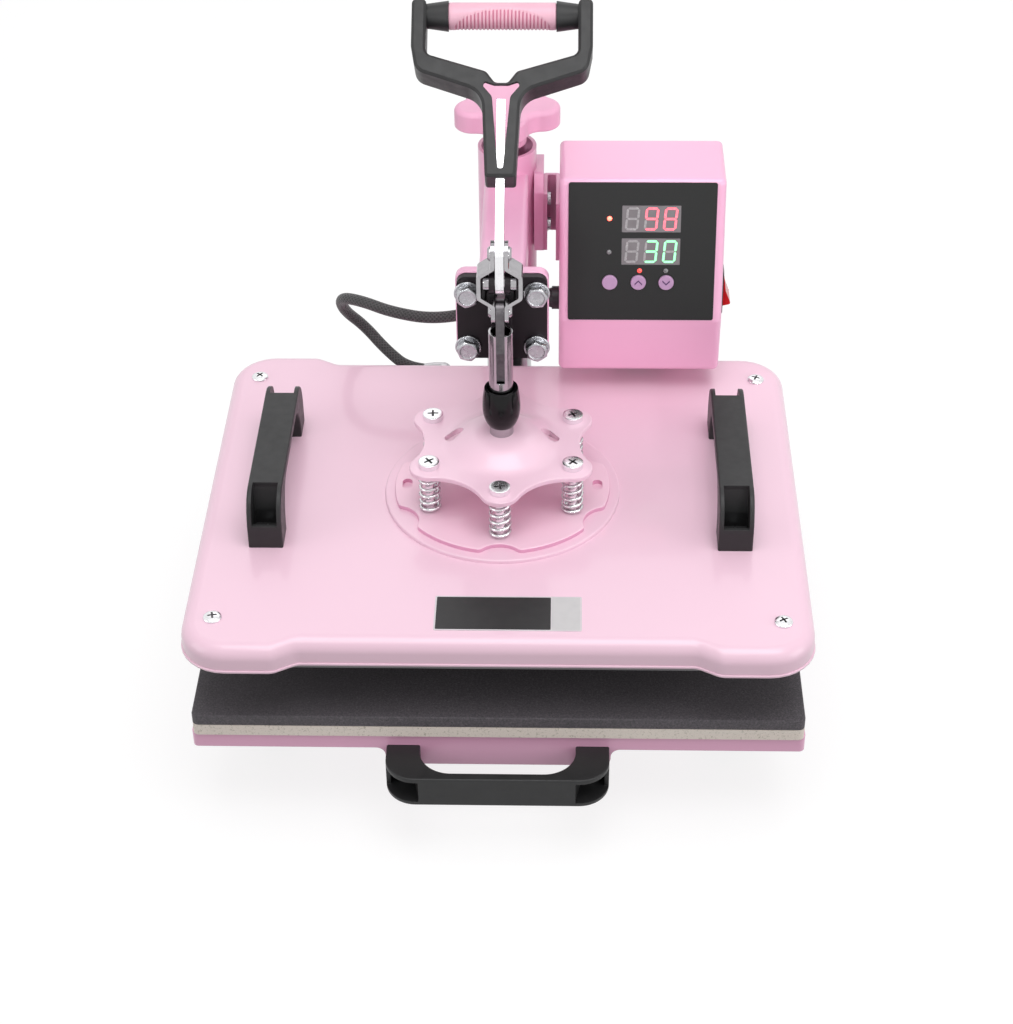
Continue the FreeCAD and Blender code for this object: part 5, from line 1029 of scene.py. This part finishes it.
def hex_head(form, place, height):
    """Hexagon head with a turned chamfer and a rough dish in its face."""
    flat = BOLT_ACROSS / 2
    rim = 0.96 * flat
    around = [360 * i / HEAD_SIDES for i in range(HEAD_SIDES)]
    reaches = [flat / math.cos(math.radians((degrees + 30) % 60 - 30)) for degrees in around]
    chamfer = [height - (reach - rim) * math.tan(math.radians(30)) for reach in reaches]
    loops = [[(*polar(reach, degrees), 0.0) for reach, degrees in zip(reaches, around)],
             [(*polar(reach, degrees), z) for reach, degrees, z in zip(reaches, around, chamfer)]]
    for r, z in ((0.96, 0.0), (0.80, 0.0), (0.74, 0.3), (0.2, 0.4)):
        loops.append([(*polar(r * flat, degrees), height - z * MM) for degrees in around])
    form.loft(loops, place)


def split_washer(form, place, inner, outer, thick):
    """Spring washer: a square ring with a slanted cut."""
    section = ((inner, 0), (outer, 0), (outer, thick), (inner, thick))
    loops = []
    for i in range(WASHER_STEPS + 1):
        lift = max(0.35 * MM * (i / WASHER_STEPS - 0.5), 0)
        loops.append([(*polar(r, 4 + 352 * i / WASHER_STEPS), z + lift) for r, z in section])
    form.loft(loops, place)


def make_clamp_bolts():
    form = Form()
    face_y = high("clamp_bolts").y - BOLT_TAIL
    stack = WASHER_T + SPLIT_T
    head_t = face_y - low("clamp_bolts").y - stack
    washer = [(WASHER_HOLE_R, 0), (WASHER_R - 0.1 * MM, 0), (WASHER_R, 0.2 * MM),
              (WASHER_R, WASHER_T - 0.3 * MM), (WASHER_R - 0.3 * MM, WASHER_T), (WASHER_HOLE_R, WASHER_T)]
    shank = [(BOLT_R, stack)] + threaded(BOLT_R, 0, -BOLT_TAIL, 1.25 * MM)[1:]
    spots = [(side * BOLT_DX, z) for side in (-1, 1) for z in BOLT_Z]
    for (x, z), turn in zip(spots, (0.3, 0.9, 0.1, 0.6)):
        place = standing((x, face_y, z), (0, -1, 0)) @ Matrix.Rotation(turn, 4, "Z")
        form.lathe(washer, place, sides=56)
        split_washer(form, place @ Matrix.Translation((0, 0, WASHER_T)), WASHER_HOLE_R, SPLIT_R, SPLIT_T)
        hex_head(form, place @ Matrix.Translation((0, 0, stack)), head_t)
        form.lathe(shank, place, sides=32)
    settle(form.build("hex_clamp_bolts", [ZINC]), "arm", "clamp_bolts")


# Lever grip

GRIP_R = 8.4 * MM
GRIP_BORE_R = 5.0 * MM
GRIP_EDGE_R = 1.0 * MM
GRIP_STEPS = 330
GRIP_SIDES = 72
RIB_PITCH = 2.3 * MM
RIB_HEIGHT = 0.8 * MM
RIB_HALF_LENGTH = 31.0 * MM
RIB_HALF_ANGLE = 100.0
RIB_FACES = -140.0


def make_grip():
    """Round rubber grip with a lens-shaped field of ribs on the side that faces the operator's fingers; the
    groove floors take a darker pink as painted shade.
    """
    centre = middle("lever_grip") + LEVER_WAY * GRIP_RISE
    half = high("lever_grip").x - middle("lever_grip").x
    bore = [polar(GRIP_BORE_R, 360 * k / GRIP_SIDES) for k in range(GRIP_SIDES)]
    mouths = [[centre + Vector((end * half, y, z)) for y, z in bore] for end in (-1, 1)]
    loops = [mouths[0]]
    grooves = []
    for i in range(GRIP_STEPS + 1):
        x = -half + 2 * half * i / GRIP_STEPS
        near_end = 1 - min((half - abs(x)) / GRIP_EDGE_R, 1.0)
        base = GRIP_R - GRIP_EDGE_R * (1 - math.sqrt(max(0.0, 1 - near_end ** 2)))
        wave = 0.5 + 0.5 * math.cos(2 * math.pi * x / RIB_PITCH)
        loop = []
        for k in range(GRIP_SIDES):
            degrees = 360 * k / GRIP_SIDES
            off = abs((degrees - RIB_FACES + 180) % 360 - 180) / RIB_HALF_ANGLE
            share = min(max((1 - (x / RIB_HALF_LENGTH) ** 2 - off ** 2) / 0.12, 0.0), 1.0)
            if share > 0.5 and wave < 0.4:
                grooves.append(len(loops) * GRIP_SIDES + k)
            r = base - RIB_HEIGHT * share * (1 - wave ** 0.6)
            loop.append(centre + Vector((x, *polar(r, degrees))))
        loops.append(loop)
    form = Form()
    form.loft(loops + mouths[1:], ends=False)
    # Groove floors take the darker pink as painted shade.
    for number in grooves:
        form.numbers[number] = 1
    grip = form.build("ribbed_grip", [GRIP_RUBBER, GROOVE_SHADE_RUBBER], smooth_angle=50)
    settle(grip, "lever", "lever_grip")


# Pad

PAD_CORNER_R = 4.0 * MM
PAD_EDGE_R = 1.1 * MM
PAD_SIDE_STEPS = 24
PAD_DIP = 0.12 * MM


def make_pad():
    """Flat silicone mat with soft edges and a slightly uneven top."""
    lo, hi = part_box("silicone_pad")
    mid = (lo + hi) / 2
    half_w, half_d, thick = hi.x - mid.x, hi.y - mid.y, hi.z - lo.z
    levels = [(0.6 * MM, 0.0), (0.0, 0.5 * MM), (0.0, thick - PAD_EDGE_R)]
    for degrees in (30, 60, 90):
        across, up = polar(PAD_EDGE_R, degrees)
        levels.append((PAD_EDGE_R - across, thick - PAD_EDGE_R + up))
    corners = [Vector(p) for p in rounded_rectangle(half_w, half_d, PAD_CORNER_R, 5)]
    outline = []
    for here, ahead in zip(corners, corners[1:] + corners[:1]):
        steps = PAD_SIDE_STEPS if (ahead - here).length > 0.1 else 1
        outline += [here.lerp(ahead, k / steps) for k in range(steps)]
    loops = []
    for inset, height in levels:
        sx, sy = 1 - inset / half_w, 1 - inset / half_d
        loops.append([(mid.x + p.x * sx, mid.y + p.y * sy, lo.z + height) for p in outline])
    for share in (0.95, 0.88, 0.75, 0.6, 0.4, 0.2, 0.05):
        loops.append([])
        for x, y in (p * share for p in outline):
            dip = PAD_DIP * (1 + math.sin(x * 31.0 + 1.7) * math.cos(y * 37.0 + 0.4))
            loops[-1].append((mid.x + x, mid.y + y, hi.z - dip))
    form = Form()
    form.loft(loops)
    pad = form.build("silicone_mat", [silicone()], smooth_angle=50)
    settle(pad, "drawer", "silicone_pad")


# Control panel

PANEL_FACE = 1.0 * MM
DISPLAY_FACE = 0.8 * MM
BUTTON_TOP = 2.2 * MM
BUTTON_V = -21.2 * MM
CHEVRON = (2.5 * MM, 1.25 * MM, 0.588 * MM)
WINDOW_X = 6.0 * MM
WINDOW_V = (23.3 * MM, 0.5 * MM)
DIGIT_PITCH = 12.6 * MM
DIGIT_H = 14.4 * MM
DIGIT_W = 7.4 * MM
STROKE_W = 1.55 * MM
DIGIT_SLANT = math.tan(math.radians(5))
SEGMENTS = {"0": "abcdef", "3": "abcdg", "8": "abcdefg", "9": "abcdfg"}
READINGS = (" 98", " 30")
LEDS = ((-21.8, 23.6, 1), (-21.8, 0.2, 0), (-1.2, -12.9, 2), (16.3, -12.9, 0))
LED_R = 1.6 * MM
LED_RIM = 0.35 * MM
LED_DOME = 0.45 * MM
LED_DEPTH = 8.0 * MM
INK_T = 0.08 * MM


def panel_place(x, v, n):
    """Matrix of a spot on the panel: x to the right, y up along the panel, z out of it."""
    turn = Matrix((Vector((1, 0, 0)), PANEL_UP, PANEL_OUT)).transposed().to_4x4()
    spot = PANEL_MID + Vector((x, 0, 0)) + PANEL_UP * v + PANEL_OUT * n
    return Matrix.Translation(spot) @ turn


def segment_bar(start, end):
    """Six-sided bar from start to end with pointed ends, leaning with the digit."""
    a, b = Vector(start), Vector(end)
    along = (b - a).normalized()
    side = Vector((-along.y, along.x)) * STROKE_W / 2
    gap = along * 0.18 * MM
    a, b = a + gap, b - gap
    tip = along * STROKE_W / 2
    points = [a, a + tip - side, b - tip - side, b, b - tip + side, a + tip + side]
    return [(p.x + p.y * DIGIT_SLANT, p.y) for p in points]


def digit_bars():
    w, h = DIGIT_W / 2, DIGIT_H / 2
    ends = {"a": (-w, h, w, h), "b": (w, 0, w, h), "c": (w, -h, w, 0), "d": (-w, -h, w, -h),
            "e": (-w, -h, -w, 0), "f": (-w, 0, -w, h), "g": (-w, 0, w, 0)}
    return {name: segment_bar(spots[:2], spots[2:]) for name, spots in ends.items()}


def make_digits():
    """Three slanted digits in each window, the first unlit."""
    materials = [
        lit_plastic("segment_off", (150, 147, 149), 0.0, (0, 0, 0)),
        lit_plastic("segment_red", (250, 110, 125), 1.0, (255, 92, 112)),
        lit_plastic("segment_green", (150, 235, 175), 1.0, (125, 245, 165)),
    ]
    form = Form()
    for row, (v, reading) in enumerate(zip(WINDOW_V, READINGS)):
        for i, mark in enumerate(reading):
            place = panel_place(WINDOW_X + (i - 1) * DIGIT_PITCH, v, DISPLAY_FACE)
            for name, bar in digit_bars().items():
                lit = name in SEGMENTS.get(mark, "")
                form.prism(bar, 0.0, INK_T, place, number=row + 1 if lit else 0)
    settle(form.build("display_digits", materials), "arm", None)


def make_leds():
    materials = [
        lit_plastic("led_off", (110, 110, 112), 0.0, (0, 0, 0)),
        lit_plastic("led_bright", (255, 160, 140), 5.0, (255, 70, 50)),
        lit_plastic("led_red", (235, 70, 60), 0.8, (255, 60, 50)),
    ]
    profile = [(0, -LED_DEPTH), (LED_R, -LED_DEPTH), (LED_R, LED_RIM)]
    for out, up in (polar(1.0, 30), polar(1.0, 60)):
        profile.append((LED_R * out, LED_RIM + LED_DOME * up))
    profile.append((0, LED_RIM + LED_DOME))
    form = Form()
    for x, v, state in LEDS:
        form.lathe(profile, panel_place(x * MM, v * MM, PANEL_FACE), 24, state)
    settle(form.build("indicator_lamps", materials), "arm", "indicator_leds")


def make_chevrons():
    """Raised arrows on the up and down buttons."""
    ink = plain_plastic("button_ink", (70, 34, 84), (84, 44, 98))
    w, h, stroke = CHEVRON
    for node, body, way in (("up_button", "up_key", 1), ("down_button", "down_key", -1)):
        place = panel_place(middle(node).x - PANEL_MID.x, BUTTON_V, BUTTON_TOP)
        line = [(-w, -h * way), (0, h * way), (w, -h * way)]
        outline = [(x, y - stroke) for x, y in line[::-1]] + [(x, y + stroke) for x, y in line]
        form = Form()
        form.prism(outline, -0.02 * MM, 0.1 * MM, place)
        settle(form.build(node.replace("button", "arrow"), [ink]), body, None)


# Label plate on the cover

LABEL_MIN = Vector((-38.5 * MM, AXIS.y - 141.0 * MM, 0))
LABEL_MAX = Vector((51.5 * MM, AXIS.y - 108.5 * MM, 0))
LABEL_SPLIT = 0.80
LABEL_BORDER = 1.0 * MM
LABEL_GAP = 0.3 * MM
LABEL_T = 0.30 * MM


def make_label():
    """Bare two-field label plate near the front edge."""
    mid = (LABEL_MIN + LABEL_MAX) / 2
    half = (LABEL_MAX - LABEL_MIN) / 2
    materials = [
        label_face("label_border", (214, 208, 212), (200, 194, 200), 0.3),
        label_face("label_black", (34, 33, 34), (42, 41, 42), 0.35),
        label_face("label_grey", (202, 200, 201), (192, 190, 192), 0.35),
    ]
    form = Form()
    place = Matrix.Translation((mid.x, mid.y, COVER_TOP))
    form.prism(rounded_rectangle(half.x, half.y, 1.2 * MM), -0.05 * MM, LABEL_T, place)
    inner_w, inner_h = half.x - LABEL_BORDER, half.y - LABEL_BORDER
    split = inner_w * (2 * LABEL_SPLIT - 1)
    fields = ((-inner_w, split - LABEL_GAP), (split + LABEL_GAP, inner_w))
    for number, (x0, x1) in enumerate(fields, 1):
        field = place @ Matrix.Translation(((x0 + x1) / 2, 0, 0))
        outline = rounded_rectangle((x1 - x0) / 2, inner_h, 0.6 * MM)
        form.prism(outline, LABEL_T, LABEL_T + 0.06 * MM, field, number)
    settle(form.build("label_plate", materials), "platen", None)


# Heater cable

CABLE_R = 4.0 * MM
CABLE_ROUTE = (
    (36.0, 152.0, 205.0),
    (12.0, 152.0, 205.0),
    (-18.0, 140.0, 201.0),
    (-50.0, 131.0, 200.0),
    (-79.0, 135.0, 203.0),
    (-101.0, 145.0, 206.0),
    (-117.0, 159.0, 200.0),
    (-117.0, 173.0, 181.0),
    (-103.0, 180.0, 163.0),
    (-88.0, 172.0, 148.0),
    (-70.0, 160.5, 138.5),
    (-50.0, 160.5, 138.5),
)
CABLE_SIDES = 28
STRANDS = 9


def smooth_line(route):
    """Points along the spline that has the route as its control points."""
    curve = bpy.data.curves.new("route", "CURVE")
    curve.dimensions = "3D"
    spline = curve.splines.new("NURBS")
    spline.points.add(len(route) - 1)
    for point, place in zip(spline.points, route):
        point.co = (*place, 1.0)
    spline.order_u = 3
    spline.use_endpoint_u = True
    spline.resolution_u = 16
    holder = bpy.data.objects.new("route", curve)
    mesh = bpy.data.meshes.new_from_object(holder)
    points = [v.co.copy() for v in mesh.vertices]
    bpy.data.objects.remove(holder)
    return points


def make_cable():
    points = smooth_line([(x * MM, y * MM + AXIS.y, z * MM) for x, y, z in CABLE_ROUTE])
    sides = CABLE_SIDES
    form = Form()
    form.loft(tube_loops(points, CABLE_R, sides))
    cable = form.build("heater_lead", [cable_braid()], smooth_angle=60)
    along = [0.0]
    for a, b in zip(points, points[1:]):
        along.append(along[-1] + (b - a).length)
    layer = cable.data.uv_layers.new(name="along")
    for polygon in cable.data.polygons:
        spots = [divmod(cable.data.loops[i].vertex_index, sides) for i in polygon.loop_indices]
        turns = [turn for _, turn in spots]
        wraps = max(turns) - min(turns) > sides / 2
        for loop, (ring, turn) in zip(polygon.loop_indices, spots):
            around = (turn + sides if wraps and turn < sides / 2 else turn) / sides
            layer.data[loop].uv = (around * 2 * math.pi * STRANDS, along[ring] / CABLE_R * STRANDS)
    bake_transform(cable)
    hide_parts("heater_cable")


# Stage

SKY_LIGHT = (-0.1, 0.29, 0.23, 0.54)  # height from and to, light below and above
FLOOR_HALF = 4.0


def make_stage():
    mesh = bpy.data.meshes.new("floor")
    corners = ((-1, -1), (1, -1), (1, 1), (-1, 1))
    mesh.from_pydata([(x * FLOOR_HALF, y * FLOOR_HALF, 0) for x, y in corners], [], [(0, 1, 2, 3)])
    mesh.materials.append(floor_white())
    floor = linked("floor", mesh)
    floor.visible_diffuse = False


def aim_lamp(name, data, at, toward, power):
    data.energy = power
    lamp = linked(name, data)
    lamp.location = at
    lamp.rotation_euler = (Vector(toward) - Vector(at)).to_track_quat("-Z", "Y").to_euler()


def add_lamp(name, at, toward, size, power):
    data = bpy.data.lights.new(name, "AREA")
    data.shape = "RECTANGLE"
    data.size, data.size_y = size
    aim_lamp(name, data, at, toward, power)


def add_spot(name, at, toward, radius, cone, power):
    """Round lamp with a soft-edged cone, given as its full angle in degrees."""
    data = bpy.data.lights.new(name, "SPOT")
    data.shadow_soft_size = radius
    data.spot_size = math.radians(cone)
    data.spot_blend = 0.8
    aim_lamp(name, data, at, toward, power)


def make_world():
    """White for what the camera and the gloss see, softer for the light it gives, and softest from below."""
    world = bpy.data.worlds.new("studio")
    world.use_nodes = True
    tree = world.node_tree
    rays = add_node(tree, "ShaderNodeLightPath").outputs
    seen = rays["Is Camera Ray"]
    for other in ("Is Glossy Ray", "Is Transmission Ray"):
        either = add_node(tree, "ShaderNodeMath")
        either.operation = "MAXIMUM"
        tree.links.new(seen, either.inputs[0])
        tree.links.new(rays[other], either.inputs[1])
        seen = either.outputs["Value"]
    way = add_node(tree, "ShaderNodeTexCoord").outputs["Generated"]
    height = add_node(tree, "ShaderNodeSeparateXYZ", Vector=way).outputs["Z"]
    limits = dict(zip(("From_Min", "From_Max", "To_Min", "To_Max"), SKY_LIGHT))
    light = add_node(tree, "ShaderNodeMapRange", Value=height, **limits).outputs["Result"]
    mix = add_node(tree, "ShaderNodeMix", Factor=seen, A=light, B=1.0)
    background = tree.nodes["Background"]
    background.inputs["Color"].default_value = (1.0, 1.0, 1.0, 1.0)
    tree.links.new(mix.outputs["Result"], background.inputs["Strength"])
    bpy.context.scene.world = world


def make_camera():
    data = bpy.data.cameras.new("camera")
    data.sensor_width = SENSOR
    data.lens = FOCAL_PIXELS / PICTURE_LONG_SIDE * SENSOR
    data.clip_end = 20.0
    camera = linked("camera", data)
    right, down = Vector(CAMERA_RIGHT).normalized(), Vector(CAMERA_DOWN).normalized()
    turn = Matrix((right, -down, right.cross(-down))).transposed().to_4x4()
    camera.matrix_world = Matrix.Translation(CAMERA_AT) @ turn
    bpy.context.scene.camera = camera


bpy.context.scene.view_settings.view_transform = "Standard"
make_camera()
make_world()
make_stage()
add_lamp("overhead", (0.15, -0.5, 2.2), (0, 0, 0.1), (1.5, 1.5), 22.0)
add_lamp("left_softbox", (-1.7, -0.7, 0.7), (0, 0.1, 0.25), (1.0, 1.0), 5.0)
add_lamp("right_softbox", (1.7, -0.7, 0.7), (0, 0.1, 0.25), (1.0, 1.0), 8.0)
add_lamp("back_softbox", (0.1, 1.7, 1.5), (0, 0, 0.15), (1.6, 1.0), 3.0)
add_spot("front_spot_left", (-0.5, -1.65, 0.9), (-0.01, 0.12, 0.33), 0.12, 10.0, 34.0)
add_spot("front_spot_right", (0.75, -1.6, 0.85), (0.09, 0.12, 0.28), 0.12, 11.0, 48.0)
dress_nodes()
shape_handles()
shape_base()
shape_tray()
shape_knob()
shape_spring_plates()
shape_bar()
shape_lever()
make_cover()
make_barrel()
make_gland()
make_springs()
make_shoulder_screws()
make_cover_screws()
make_handle_screws()
make_clamp_bolts()
make_grip()
make_pad()
make_digits()
make_leds()
make_chevrons()
make_label()
make_cable()
